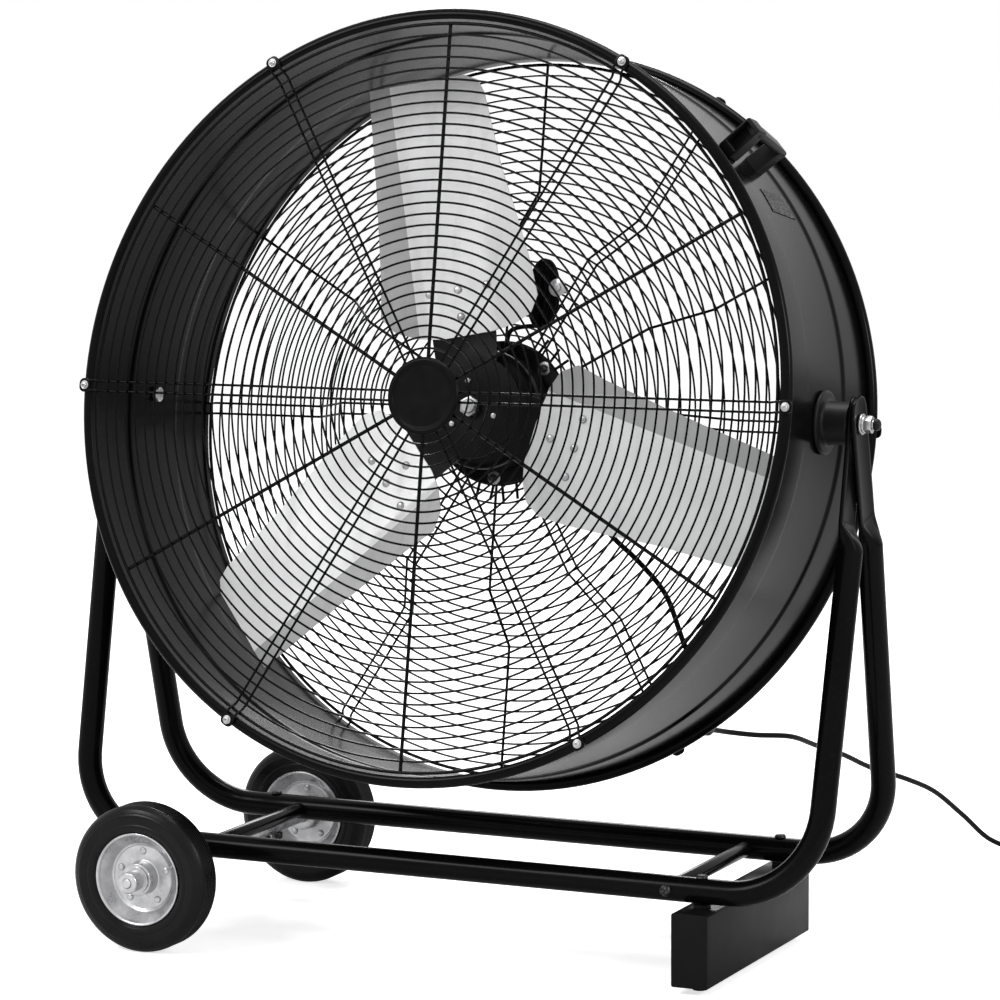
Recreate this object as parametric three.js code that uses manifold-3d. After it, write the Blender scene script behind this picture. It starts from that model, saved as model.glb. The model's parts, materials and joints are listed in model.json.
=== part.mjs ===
// Portable drum fan: a tilting steel drum with a three-bladed rotor, carried by two crossed
// U-shaped tube frames on a pair of wheels and a foot box.
// Millimetres, +Z up. The origin lies on the floor, straight below the middle of the tilt axis.
// +X points to the foot box, -Y is the side the air blows to.
import * as THREE from 'three';
import { ConvexGeometry } from 'three/addons/geometries/ConvexGeometry.js';
import * as BufferGeometryUtils from 'three/addons/utils/BufferGeometryUtils.js';
import Module from 'manifold-3d';

const wasm = await Module();
wasm.setup();

// ---------------------------------------------------------------- driving dimensions
const GAP = 0.3; // clearance between faces that touch
const BORE_PLAY = 0.3; // a bore is this much wider in radius than its pin

// drum
const DRUM_R = 485; // outermost radius of the rolled rims
const BEAD_R = 8; // section radius of a rolled rim
const DRUM_HALF = 151.5; // rim centre planes, fore and aft
const WALL_R = 470; // outer radius of the middle band
const BAND_STEP = 3; // the outer bands stand this much proud
const BAND_HALF = 60; // half width of the middle band
const BAND_SLOPE = 6; // length of the step between bands
const WALL_T = 2;
const DRUM_SEGMENTS = 36;
const PIVOT_Z = 689;
const TILT_DEG = 10.83;

// grilles
const PATTERN_TURN_DEG = 0.5;
const SCREW_R = 480;
const SCREW_COUNT = 6;
const SCREW_D = 5;
const SCREW_HEAD_D = 11;
const SCREW_HEAD_H = 4;
const SCREW_GRIP = 11;
const WIRE_D = 3;
const RIM_WIRE_D = 4.4;
const GRILLE_Y = 153.5; // centre plane of the rings
const RIM_RING_R = 466;
const RING_STEP = 60;
const FRONT_INNER_RING_R = 46;
const FRONT_PAIR_HALF = 6.3;
const REAR_PAIR_HALF = 7;
const EYE_T = 3;
const SPOKE_BEND_R = 458;
const DISH_OUTER_R = 297;
const DISH_INNER_R = 229;
const DISH_Y = 80; // centre plane of the inner rings of the rear grille
const REAR_INNER_RING_R = 94;
const WELD_OVERLAP = 0.5;
const RING_SEGMENTS = 20;
const EYE_HALF = 9;
const EYE_BACK = 7;
const BADGE_R = 48.5;
const BADGE_T = 5;

// motor
const MOUNT_PLATE_R = 92;
const MOUNT_PLATE_T = 4.5;
const CARRIER_RING_IN_R = 70;
const CARRIER_RING_T = 3;
const MOTOR_R = 75;
const MOTOR_GROOVE = 2;
const MOTOR_CAP_R = 77;
const MOTOR_CAP_LENGTH = 20;
const MOTOR_FRONT_Y = 3;
const MOTOR_NOSE_R = 21;
const MOTOR_NOSE_LENGTH = 6;
const MOTOR_BOLT_R = 84;
const MOTOR_BOLT_ANGLES = [45, 180, -90];
const MOTOR_BOLT_D = 6;
const MOTOR_WASHER_D = 15;
const TERMINAL_HALF = 42;
const TERMINAL_DEPTH = 43;
const KNOB_D = 36;
const KNOB_H = 18;
const KNOB_POST_D = 8;

// rotor
const SHAFT_D = 19;
const HUB_R = 66;
const HUB_FRONT_Y = -15;
const HUB_T = 3;
const HUB_BOSS_R = 24;
const HUB_BOSS_LENGTH = 8;
const HUB_SCREW_R = 34;
const HUB_SCREW_D = 8;
const HUB_SCREW_H = 3.5;
const NUT_R = 14;
const NUT_H = 8;
const SHAFT_STICK_OUT = 4;
const BLADE_ANGLES = [102.3, -17.7, 222.3];
const BLADE_T = 1.6;
const FOLD_U = 55; // crease of the leading flap
const FLAT_HALF = 44; // flat strip of a blade over its arm
const ARM_HALF = 41.5;
const ARM_R = 166;
const ARM_T = 3;
const RIVET_D = 6;
const RIVET_HEAD_D = 11;
const RIVET_HEAD_H = 2.5;
const RIVET_LIFT = 1.2; // clears the sloping blade
const RIVETS = [[117, 0], [152.4, -38], [152.4, 0], [152.4, 38]]; // radius, offset across

// handle and rating plate
const HANDLE_DEG = 42.5;
const HANDLE_HALF = 12;
const HANDLE_TOP_R = 524;
const HANDLE_BAR_T = 13;
const HANDLE_FRONT_Y = -92;
const HANDLE_REAR_Y = 38;
const HANDLE_POST = 22;
const HANDLE_POCKET_DEPTH = 14;
const HANDLE_POCKET_WALL = 3;
const PLATE_DEG = 35;
const PLATE_WIDTH = 34;
const PLATE_Y0 = -27;
const PLATE_Y1 = 52;
const PLATE_T = 1;

// tilt pivots
const BOSS_R = 27;
const BOSS_END_X = 508;
const BOSS_FLANGE_R = 40;
const BOSS_FLANGE_T = 5;
const PIVOT_BOLT_D = 12;
const PIVOT_HEAD_R = 10;
const PIVOT_HEAD_H = 7;
const PIVOT_WASHER_R = 13;
const PIVOT_WASHER_T = 2.5;
const PIVOT_NUT_R = 11;
const PIVOT_NUT_H = 13;
const PIVOT_CAP_R = 7.5;
const PIVOT_CAP_H = 9;

// frame
const TUBE_D = 31.8;
const TUBE_Z = 122;
const TUBE_Y = 133.5;
const LEG_X_LOW = 509.5;
const LEG_X_HIGH = 518;
const BEND_R = 112;
const STRAP_T = 5;
const STRAP_HALF = 25;
const STRAP_TOP = 33.6; // above the pivot axis
const STRAP_CORNER = 20;
const FLAT_END = 122; // below the pivot axis, along the leg
const ROUND_START = 156;
const TUBE_SIDES = 10;
const CROSS_D = 19;
const CROSS_X = 322;
const BOLT_D = 8;
const BOLT_HEAD_D = 15;
const BOLT_HEAD_H = 4;
const BOLT_SEGMENTS = 8;
const CROSS_BOLT_GRIP = 18;
const SUPPORT_X = 364; // axle and foot bolts, each way from the middle

// foot box
const FOOT_W = 48;
const FOOT_HALF_LENGTH = 172;
const FOOT_TOP = 100.5;
const FOOT_BOTTOM = 8.6;
const FOOT_WALL = 3;
const SPACER_D = 22;
const FOOT_NUT_R = 7.5;
const FOOT_NUT_H = 6.5;
const FOOT_CAP_T = 3;
const FOOT_CAP_PLUG = 9;
const FOOT_CAP_WALL = 3;
const RUBBER_D = 20;
const RUBBER_Y = 140;
const RUBBER_STEM_D = 6;

// wheels and axle
const WHEEL_R = 95.3;
const WHEEL_W = 50;
const WHEEL_Y = 227;
const AXLE_D = 20;
const AXLE_HALF = 266;
const AXLE_TIP_D = 12;
const AXLE_TIP = 10;
const AXLE_WASHER_D = 36;
const AXLE_WASHER_T = 2.5;
const AXLE_COLLAR_T = 3.5;
const AXLE_NUT_H = 8;
const RIM_SEAT_R = 60;
const RIM_HALF = 22.7;
const RIM_SHEET = 2.5;
const DISC_R = 43.5;
const DISC_HALF_T = 4;
const HUB_TUBE_R = 21;
const HUB_TUBE_HALF = 24;
const RIM_RIVET_R = 34;
const RIM_RIVET_D = 9;
const RIM_RIVET_H = 2.5;
const RIM_RIVETS = 5;
const WHEEL_SEGMENTS = 20;

// leads
const CORD_D = 7;
const GLAND_DEG = -54;
const GLAND_D = 16;
const GLAND_LENGTH = 18;
const INNER_LEAD_D = 7;
const HANK_TUBE_D = 6;
const HANK_LOOPS = 2;
const HANK_PITCH = 6.8;
const HANK_X = 52;
const HANK_Z = 150;
const HANK_HALF_W = 14;
const HANK_HALF_H = 36;
const COIL_R = 44;
const COIL_PITCH = 7.6;
const COIL_LAYER = 7.7;
const COIL_TURNS = 4;
const COIL_STEPS = 24;
const COIL_EXIT = 30; // straight length at the plug's end
const PLUG_W = 50;
const PLUG_L = 48;
const PLUG_BOOT = 22;
const PIN_L = 18;
const FLOOR_CLEARANCE = 0.1;

// ---------------------------------------------------------------- materials
const paint = (color, roughness, metalness) =>
  new THREE.MeshStandardMaterial({ color, roughness, metalness });
const blackGloss = () => paint(0x161617, 0.35, 0.4);
const blackWire = () => paint(0x1a1a1a, 0.4, 0.4);
const blackPlastic = () => paint(0x1c1c1c, 0.6, 0);
const greySteel = () => paint(0xb8b9bb, 0.45, 0.6);
const darkSteel = () => paint(0x3a3b3d, 0.45, 0.6);
const zinc = () => paint(0xc9cacc, 0.3, 0.9);
const rubber = () => paint(0x151515, 0.9, 0);
const darkFoot = () => paint(0x2a2a2b, 0.5, 0.3);

// ---------------------------------------------------------------- solids
// A closed geometry as a solid: shared points merged, empty triangles left out, faces outward.
function solid(geometry) {
  let bare = geometry.clone();
  if (bare.attributes.normal) bare.deleteAttribute('normal');
  if (bare.attributes.uv) bare.deleteAttribute('uv');
  bare = BufferGeometryUtils.mergeVertices(bare, 1e-3);
  const point = bare.attributes.position;
  const corners = [];
  let volume = 0;
  const a = new THREE.Vector3();
  const b = new THREE.Vector3();
  const c = new THREE.Vector3();
  for (let i = 0; i < bare.index.count; i += 3) {
    const ids = [bare.index.getX(i), bare.index.getX(i + 1), bare.index.getX(i + 2)];
    if (ids[0] === ids[1] || ids[1] === ids[2] || ids[2] === ids[0]) continue;
    corners.push(...ids);
    a.fromBufferAttribute(point, ids[0]);
    b.fromBufferAttribute(point, ids[1]);
    c.fromBufferAttribute(point, ids[2]);
    volume += a.dot(b.cross(c)) / 6;
  }
  if (volume < 0) corners.reverse();
  const mesh = new wasm.Mesh({
    numProp: 3,
    vertProperties: new Float32Array(point.array),
    triVerts: new Uint32Array(corners),
  });
  return new wasm.Manifold(mesh);
}

function geometryOf(body) {
  const mesh = body.getMesh();
  const geometry = new THREE.BufferGeometry();
  geometry.setAttribute('position', new THREE.BufferAttribute(mesh.vertProperties, 3));
  geometry.setIndex(new THREE.BufferAttribute(mesh.triVerts, 1));
  geometry.computeVertexNormals();
  return geometry;
}

function join(parts) {
  let whole = solid(parts[0]);
  for (const part of parts.slice(1)) whole = whole.add(solid(part));
  return whole;
}

function cut(body, tools) {
  let rest = body;
  for (const tool of tools) rest = rest.subtract(solid(tool));
  return rest;
}

function addMesh(group, name, body, material) {
  const mesh = new THREE.Mesh(geometryOf(body), material);
  mesh.name = name;
  group.add(mesh);
  return mesh;
}

const rad = THREE.MathUtils.degToRad;
const V = (x, y, z) => new THREE.Vector3(x, y, z);

// A round bar between two points.
function bar(from, to, diameter, sides = 12) {
  const along = to.clone().sub(from);
  const geometry = new THREE.CylinderGeometry(diameter / 2, diameter / 2, along.length(), sides);
  const turn = new THREE.Quaternion().setFromUnitVectors(V(0, 1, 0), along.clone().normalize());
  geometry.applyQuaternion(turn);
  const middle = from.clone().add(to).multiplyScalar(0.5);
  return geometry.translate(middle.x, middle.y, middle.z);
}

// A cutter for a bore that takes a pin: its flats, not its corners, clear the pin.
function bore(from, to, pinD, sides = 6) {
  return bar(from, to, clearR(pinD / 2, sides) * 2, sides);
}

// Radius of a bore's corners so that its flats clear a pin of the given radius.
function clearR(pinR, sides) {
  return (pinR + BORE_PLAY) / Math.cos(Math.PI / sides);
}

function block(x0, x1, y0, y1, z0, z1) {
  const geometry = new THREE.BoxGeometry(x1 - x0, y1 - y0, z1 - z0);
  return geometry.translate((x0 + x1) / 2, (y0 + y1) / 2, (z0 + z1) / 2);
}

// A profile of [radius, height] points turned about the Y axis.
function lathe(profile, segments) {
  const points = profile.map(([r, y]) => new THREE.Vector2(r, y));
  return new THREE.LatheGeometry(points, segments);
}

function ringLathe(profile, segments) {
  return lathe([...profile, profile[0]], segments);
}

// A stack of discs on the Y axis: [radius, from, to] each.
function discs(steps, segments) {
  const profile = [[0, steps[0][1]]];
  for (const [radius, from, to] of steps) profile.push([radius, from], [radius, to]);
  profile.push([0, steps[steps.length - 1][2]]);
  return lathe(profile, segments);
}

// A point of the drum at a radius and an angle counted from +X towards +Z, seen from the front.
function polar(r, deg, y) {
  return V(r * Math.cos(rad(deg)), y, r * Math.sin(rad(deg)));
}

// Turns a shape built about +X round the drum axis to an angle.
function swing(geometry, deg) {
  return geometry.rotateY(-rad(deg));
}

// A path given by stations, so that an extrusion steps exactly from one to the next.
class StationPath extends THREE.Curve {
  constructor(stations) {
    super();
    this.stations = stations;
  }
  getPoint(t, target = new THREE.Vector3()) {
    const last = this.stations.length - 1;
    const place = Math.min(Math.max(t, 0), 1) * last;
    const low = Math.min(Math.floor(place), last - 1);
    return target.lerpVectors(this.stations[low], this.stations[low + 1], place - low);
  }
  getPointAt(u, target) {
    return this.getPoint(u, target);
  }
  getTangentAt(u, target = new THREE.Vector3()) {
    const last = this.stations.length - 1;
    const i = Math.round(u * last);
    const before = this.stations[Math.max(i - 1, 0)];
    const after = this.stations[Math.min(i + 1, last)];
    return target.copy(after).sub(before).normalize();
  }
}

function tubeAlong(stations, diameter, sides) {
  const section = new THREE.Shape();
  for (let i = 0; i < sides; i++) {
    const angle = (i + 0.5) * 2 * Math.PI / sides;
    const x = diameter / 2 * Math.cos(angle);
    const y = diameter / 2 * Math.sin(angle);
    if (i === 0) section.moveTo(x, y);
    else section.lineTo(x, y);
  }
  const settings = {
    steps: stations.length - 1,
    extrudePath: new StationPath(stations),
    bevelEnabled: false,
  };
  return new THREE.ExtrudeGeometry(section, settings);
}

function smooth(points, step, tension = 0.5) {
  const curve = new THREE.CatmullRomCurve3(points, false, 'centripetal', tension);
  return curve.getSpacedPoints(Math.round(curve.getLength() / step));
}

// ---------------------------------------------------------------- drum shell
const beadRing = DRUM_R - BEAD_R;
const bandR = WALL_R + BAND_STEP;
const rimFace = DRUM_HALF + BEAD_R;

// Radius of the flat facet under a point of a band at an angle.
function facetR(radius, deg) {
  const pitch = 360 / DRUM_SEGMENTS;
  const off = ((deg % pitch) + pitch) % pitch - pitch / 2;
  return radius * Math.cos(rad(pitch / 2)) / Math.cos(rad(off));
}

function drumShell() {
  const outAngle = Math.acos((bandR - beadRing) / BEAD_R);
  const inAngle = Math.acos((bandR - WALL_T - beadRing) / BEAD_R);
  const arcSteps = 5;
  const front = [];
  for (let i = 0; i <= arcSteps; i++) {
    const a = outAngle - (outAngle + 2 * Math.PI - inAngle) * i / arcSteps;
    front.push([beadRing + BEAD_R * Math.cos(a), -DRUM_HALF + BEAD_R * Math.sin(a)]);
  }
  const rear = front.map(([r, y]) => [r, -y]).reverse();
  const inner = [
    [bandR - WALL_T, -BAND_HALF - BAND_SLOPE],
    [WALL_R - WALL_T, -BAND_HALF],
    [WALL_R - WALL_T, BAND_HALF],
    [bandR - WALL_T, BAND_HALF + BAND_SLOPE],
  ];
  const outer = [
    [bandR, BAND_HALF + BAND_SLOPE],
    [WALL_R, BAND_HALF],
    [WALL_R, -BAND_HALF],
    [bandR, -BAND_HALF - BAND_SLOPE],
  ];
  const profile = [...front, ...inner, ...rear, ...outer];
  const holes = [];
  for (let i = 0; i < SCREW_COUNT; i++) {
    const deg = PATTERN_TURN_DEG + i * 360 / SCREW_COUNT;
    for (const side of [-1, 1]) {
      const from = polar(SCREW_R, deg, side * (rimFace - SCREW_GRIP));
      holes.push(bore(from, polar(SCREW_R, deg, side * (rimFace + 5)), SCREW_D));
    }
  }
  holes.push(bore(V(-DRUM_R, 0, 0), V(DRUM_R, 0, 0), PIVOT_BOLT_D, 8));
  return cut(solid(ringLathe(profile, DRUM_SEGMENTS)), holes);
}

// ---------------------------------------------------------------- grilles
// Built with the rings on the +Y side of the spokes; the front grille is mirrored afterwards.
function ring(radius, y, wire, reach) {
  const half = wire / 2;
  const profile = [[radius - half, y + half], [radius + half, y + half], [radius, y - reach]];
  return ringLathe(profile, RING_SEGMENTS);
}

// A flat bar along +X from its centre line in [radius, height], offset sideways.
function spoke(line, thickness, offset, deg) {
  const half = thickness / 2;
  const shape = new THREE.Shape();
  const side = (sign) => line.map(([r, y], i) => {
    const [r0, y0] = line[Math.max(i - 1, 0)];
    const [r1, y1] = line[Math.min(i + 1, line.length - 1)];
    const run = Math.hypot(r1 - r0, y1 - y0);
    return [r - sign * half * (y1 - y0) / run, y + sign * half * (r1 - r0) / run];
  });
  const outline = [...side(1), ...side(-1).reverse()];
  outline.forEach(([r, y], i) => (i === 0 ? shape.moveTo(r, y) : shape.lineTo(r, y)));
  const geometry = new THREE.ExtrudeGeometry(shape, { depth: thickness, bevelEnabled: false });
  geometry.translate(0, 0, offset - half);
  return swing(geometry, deg);
}

function grille(rings, line, pairHalf, weldLine) {
  const parts = [];
  for (const { radius, y, edge } of rings) {
    const wire = edge ? RIM_WIRE_D : WIRE_D;
    const reach = edge ? WIRE_D / 2 + 1.4 : WIRE_D / 2;
    parts.push(ring(radius, y, wire, reach));
  }
  const eyeY = rimFace + GAP + EYE_T / 2;
  for (let i = 0; i < SCREW_COUNT; i++) {
    const deg = PATTERN_TURN_DEG + i * 360 / SCREW_COUNT;
    const hairpin = [...line, [SPOKE_BEND_R, line[line.length - 1][1]]];
    hairpin.push([SPOKE_BEND_R + 10, eyeY], [SCREW_R - EYE_BACK + 1, eyeY]);
    parts.push(spoke(hairpin, WIRE_D, pairHalf, deg));
    parts.push(spoke(hairpin, WIRE_D, -pairHalf, deg));
    const low = eyeY - EYE_T / 2;
    const eye = block(SCREW_R - EYE_BACK, SCREW_R + 8, low, low + EYE_T, -EYE_HALF, EYE_HALF);
    parts.push(swing(eye, deg));
    const single = i % 2 === 0 ? weldLine : line;
    const last = single[single.length - 1];
    const straight = [...single, [RIM_RING_R, last[1]]];
    parts.push(spoke(straight, WIRE_D, 0, PATTERN_TURN_DEG + (i + 0.5) * 360 / SCREW_COUNT));
  }
  return parts;
}

// Bores through the eyes of the hairpins.
function screwHoles() {
  const holes = [];
  for (let i = 0; i < SCREW_COUNT; i++) {
    const deg = PATTERN_TURN_DEG + i * 360 / SCREW_COUNT;
    const from = polar(SCREW_R, deg, rimFace - 5);
    holes.push(bore(from, polar(SCREW_R, deg, rimFace + 15), SCREW_D));
  }
  return holes;
}

const spokeDrop = WIRE_D + GAP; // from a ring's centre plane to that of a spoke it clears
const weldDrop = WIRE_D - WELD_OVERLAP; // to that of a spoke it is welded to

function frontGrille() {
  const rings = [{ radius: RIM_RING_R, y: GRILLE_Y, edge: 'rim' }];
  for (let r = RIM_RING_R - RING_STEP; r > BADGE_R + RING_STEP / 2; r -= RING_STEP) {
    rings.push({ radius: r, y: GRILLE_Y });
  }
  rings.push({ radius: FRONT_INNER_RING_R, y: GRILLE_Y, edge: 'hub' });
  const line = [[FRONT_INNER_RING_R, GRILLE_Y - spokeDrop]];
  const weldLine = [[FRONT_INNER_RING_R, GRILLE_Y - weldDrop]];
  const parts = grille(rings, line, FRONT_PAIR_HALF, weldLine);
  return cut(join(parts), screwHoles()).mirror([0, 1, 0]);
}

// Height of the rear grille's rings over the radius: flat, a cone, and flat again.
function dishY(r) {
  const share = (r - DISH_INNER_R) / (DISH_OUTER_R - DISH_INNER_R);
  return DISH_Y + (GRILLE_Y - DISH_Y) * Math.min(Math.max(share, 0), 1);
}

function rearScrew(deg) {
  const at = polar(SCREW_R, deg, 0);
  const seat = rimFace + GAP + EYE_T - 0.2;
  const screw = discs([
    [SCREW_D / 2, rimFace - SCREW_GRIP + 2, seat],
    [SCREW_HEAD_D / 2, seat, seat + SCREW_HEAD_H],
  ], 6);
  return screw.translate(at.x, 0, at.z);
}

function carrierRing() {
  const front = carrierY();
  const outer = REAR_INNER_RING_R;
  const profile = [
    [CARRIER_RING_IN_R, front],
    [outer, front],
    [outer, front + CARRIER_RING_T],
    [CARRIER_RING_IN_R, front + CARRIER_RING_T],
  ];
  return ringLathe(profile, RING_SEGMENTS);
}

// Front face of the flat ring that carries the motor.
function carrierY() {
  return DISH_Y - spokeDrop - CARRIER_RING_T / 2;
}

function motorBoltHoles(from, to) {
  return MOTOR_BOLT_ANGLES.map((deg) =>
    bore(polar(MOTOR_BOLT_R, deg, from), polar(MOTOR_BOLT_R, deg, to), MOTOR_BOLT_D, 8));
}

function rearGrille() {
  const rings = [{ radius: RIM_RING_R, y: GRILLE_Y, edge: 'rim' }];
  for (let r = RIM_RING_R - RING_STEP; r > REAR_INNER_RING_R + RING_STEP / 2; r -= RING_STEP) {
    rings.push({ radius: r, y: dishY(r) });
  }
  const lineAt = (drop) => [
    [REAR_INNER_RING_R - 4, DISH_Y - drop],
    [DISH_INNER_R, DISH_Y - drop],
    [DISH_OUTER_R, GRILLE_Y - drop],
  ];
  const parts = grille(rings, lineAt(spokeDrop), REAR_PAIR_HALF, lineAt(weldDrop));
  parts.push(carrierRing());
  for (let i = 0; i < SCREW_COUNT; i++) {
    parts.push(rearScrew(PATTERN_TURN_DEG + i * 360 / SCREW_COUNT));
  }
  const y = carrierY();
  return cut(join(parts), motorBoltHoles(y - 5, y + CARRIER_RING_T + 12));
}

function grilleScrew(deg) {
  const at = polar(SCREW_R, deg, 0);
  const seat = rimFace + GAP + EYE_T + GAP;
  const screw = discs([
    [SCREW_D / 2, rimFace - SCREW_GRIP + 2, seat],
    [SCREW_HEAD_D / 2, seat, seat + 1.5],
    [SCREW_HEAD_D / 2 - 2, seat + SCREW_HEAD_H, seat + SCREW_HEAD_H],
  ], 8);
  return solid(screw.translate(at.x, 0, at.z)).mirror([0, 1, 0]);
}

function badge() {
  const back = -(GRILLE_Y + RIM_WIRE_D / 2 + GAP);
  const front = back - BADGE_T;
  const profile = [
    [0, back],
    [BADGE_R, back],
    [BADGE_R, front + 2],
    [BADGE_R - 3, front],
    [BADGE_R - 7, front],
    [BADGE_R - 8, front + 1],
    [0, front + 1],
  ];
  return solid(lathe(profile, 20));
}

// ---------------------------------------------------------------- motor
const plateBack = carrierY() - GAP;
const plateFront = plateBack - MOUNT_PLATE_T;

function motorBody() {
  const from = MOTOR_FRONT_Y + MOTOR_CAP_LENGTH + GAP;
  const land = (plateFront - from) / 3;
  const body = discs([
    [MOTOR_R, from, from + land],
    [MOTOR_R - MOTOR_GROOVE, from + land, plateFront - land],
    [MOTOR_R, plateFront - land, plateFront],
    [MOUNT_PLATE_R, plateFront, plateBack],
  ], 20);
  return cut(solid(body), motorBoltHoles(plateFront - 5, plateBack + 5));
}

function motorCap() {
  const nose = MOTOR_FRONT_Y - MOTOR_NOSE_LENGTH;
  const inner = clearR(SHAFT_D / 2, 20);
  const back = MOTOR_FRONT_Y + MOTOR_CAP_LENGTH;
  const profile = [
    [inner, nose],
    [MOTOR_NOSE_R, nose],
    [MOTOR_NOSE_R, MOTOR_FRONT_Y],
    [MOTOR_CAP_R - 14, MOTOR_FRONT_Y],
    [MOTOR_CAP_R - 5, MOTOR_FRONT_Y + 4],
    [MOTOR_CAP_R, MOTOR_FRONT_Y + 12],
    [MOTOR_CAP_R, back],
    [inner, back],
  ];
  return solid(ringLathe(profile, 20));
}

function motorBolt(deg) {
  const at = polar(MOTOR_BOLT_R, deg, 0);
  const seat = plateFront - GAP;
  const end = carrierY() + CARRIER_RING_T + 2;
  return solid(discs([
    [MOTOR_WASHER_D / 2 - 2.5, seat - 5.5, seat - 1.5],
    [MOTOR_WASHER_D / 2, seat - 1.5, seat],
    [MOTOR_BOLT_D / 2, seat, end],
  ], 8).translate(at.x, 0, at.z));
}

function terminalBox() {
  const from = plateBack + GAP;
  const to = from + TERMINAL_DEPTH;
  const half = TERMINAL_HALF;
  const body = block(-half, half, from, to, -half, half);
  return cut(solid(body), [bore(V(0, to - 12, 0), V(0, to + 5, 0), KNOB_POST_D, 8)]);
}

function speedKnob() {
  const seat = plateBack + GAP + TERMINAL_DEPTH + GAP;
  const knob = discs([
    [KNOB_POST_D / 2, seat - 10, seat],
    [KNOB_D / 2, seat, seat + KNOB_H * 0.4],
    [KNOB_D / 2 - 3, seat + KNOB_H * 0.5, seat + KNOB_H * 0.5],
  ], 16);
  const grip = block(-3, 3, seat + 2, seat + KNOB_H, -KNOB_D / 2 + 1, KNOB_D / 2 - 1);
  return join([knob, grip]);
}

// ---------------------------------------------------------------- rotor
// Front surface of a blade over the radius and the offset across it.
function bladeY(rho, u) {
  const share = Math.min(Math.max((rho - 170) / 255, 0), 1);
  const leave = Math.min(Math.max((rho - 170) / 60, 0), 1);
  const stations = [
    [-99, 9 - 6 * share],
    [-FLAT_HALF, -6.7 + 2.2 * leave],
    [FLAT_HALF, -19.3 - 2 * leave],
    [FOLD_U, -24.5],
    [100, -39 + 10 * share],
  ];
  let i = 0;
  while (i < stations.length - 2 && u > stations[i + 1][0]) i++;
  const [u0, y0] = stations[i];
  const [u1, y1] = stations[i + 1];
  return y0 + (y1 - y0) * (u - u0) / (u1 - u0);
}

// Outline of a blade: radius, trailing offset, leading offset.
const BLADE_OUTLINE = [
  [92, -40, 30],
  [97, -66, 58],
  [108, -88, 84],
  [130, -99, 100],
  [170, -96, 95],
  [230, -87, 91.5],
  [300, -75, 88],
  [400, -65, 84.5],
  [418, -58, 83.3],
  [427, -42, 83],
];

// A thin curved sheet from rows of points, thickened towards +Y.
function sheet(rows, thickness) {
  const columns = rows[0].length;
  const flat = rows.flat();
  const positions = [];
  for (const p of flat) positions.push(p.x, p.y, p.z);
  for (const p of flat) positions.push(p.x, p.y + thickness, p.z);
  const back = flat.length;
  const index = [];
  const quad = (a, b, c, d) => index.push(a, b, c, a, c, d);
  for (let i = 0; i < rows.length - 1; i++) {
    for (let j = 0; j < columns - 1; j++) {
      const a = i * columns + j;
      const b = a + 1;
      const c = a + columns + 1;
      const d = a + columns;
      quad(a, b, c, d);
      quad(back + c, back + b, back + a, back + d);
    }
  }
  const edge = [];
  for (let j = 0; j < columns; j++) edge.push(j);
  for (let i = 1; i < rows.length; i++) edge.push(i * columns + columns - 1);
  for (let j = columns - 2; j >= 0; j--) edge.push((rows.length - 1) * columns + j);
  for (let i = rows.length - 2; i > 0; i--) edge.push(i * columns);
  for (let k = 0; k < edge.length; k++) {
    const a = edge[k];
    const b = edge[(k + 1) % edge.length];
    quad(b, a, back + a, back + b);
  }
  const geometry = new THREE.BufferGeometry();
  geometry.setAttribute('position', new THREE.Float32BufferAttribute(positions, 3));
  geometry.setIndex(index);
  return geometry;
}

function blade() {
  const rows = BLADE_OUTLINE.map(([rho, low, high]) => {
    const inLow = low < -FLAT_HALF ? -FLAT_HALF : low / 2;
    const inHigh = high > FLAT_HALF ? FLAT_HALF : high / 2;
    const cuts = [low, inLow, inHigh];
    cuts.push(high > FOLD_U ? FOLD_U : (inHigh + high) / 2, high);
    return cuts.map((u) => V(rho, bladeY(rho, u), u));
  });
  const holes = RIVETS.map(([rho, u]) => {
    const y = bladeY(rho, u);
    return bore(V(rho, y - 8, u), V(rho, y + 8, u), RIVET_D);
  });
  return cut(solid(sheet(rows, BLADE_T)), holes);
}

function spiderArm() {
  const top = BLADE_T + GAP;
  const radii = [HUB_R - 20, HUB_R, 92, ARM_R];
  const rows = radii.map((rho) => {
    const share = Math.min(Math.max((rho - HUB_R) / (92 - HUB_R), 0), 1);
    return [-ARM_HALF, ARM_HALF].map((u) => {
      const flatY = HUB_FRONT_Y + 0.4;
      return V(rho, flatY + (bladeY(130, u) + top - flatY) * share, u);
    });
  });
  return sheet(rows, ARM_T);
}

function spider() {
  const back = HUB_FRONT_Y + HUB_T;
  const inner = clearR(SHAFT_D / 2, 20);
  const hub = ringLathe([
    [inner, HUB_FRONT_Y],
    [HUB_R, HUB_FRONT_Y],
    [HUB_R, back],
    [HUB_BOSS_R, back],
    [HUB_BOSS_R, back + HUB_BOSS_LENGTH],
    [inner, back + HUB_BOSS_LENGTH],
  ], 20);
  const parts = [hub];
  for (const deg of BLADE_ANGLES) {
    parts.push(swing(spiderArm(), deg));
    for (const [rho, u] of RIVETS) {
      const y = bladeY(rho, u);
      const rivet = discs([
        [RIVET_HEAD_D / 2, y - RIVET_LIFT - RIVET_HEAD_H, y - RIVET_LIFT],
        [RIVET_D / 2, y - RIVET_LIFT, y + BLADE_T + ARM_T],
      ], 6);
      parts.push(swing(rivet.translate(rho, 0, u), deg));
    }
  }
  for (let i = 0; i < 3; i++) {
    const at = polar(HUB_SCREW_R, i * 120 - 17.7, 0);
    const head = discs([[HUB_SCREW_D / 2, HUB_FRONT_Y - HUB_SCREW_H, HUB_FRONT_Y + 1]], 6);
    parts.push(head.translate(at.x, 0, at.z));
  }
  return join(parts);
}

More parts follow.
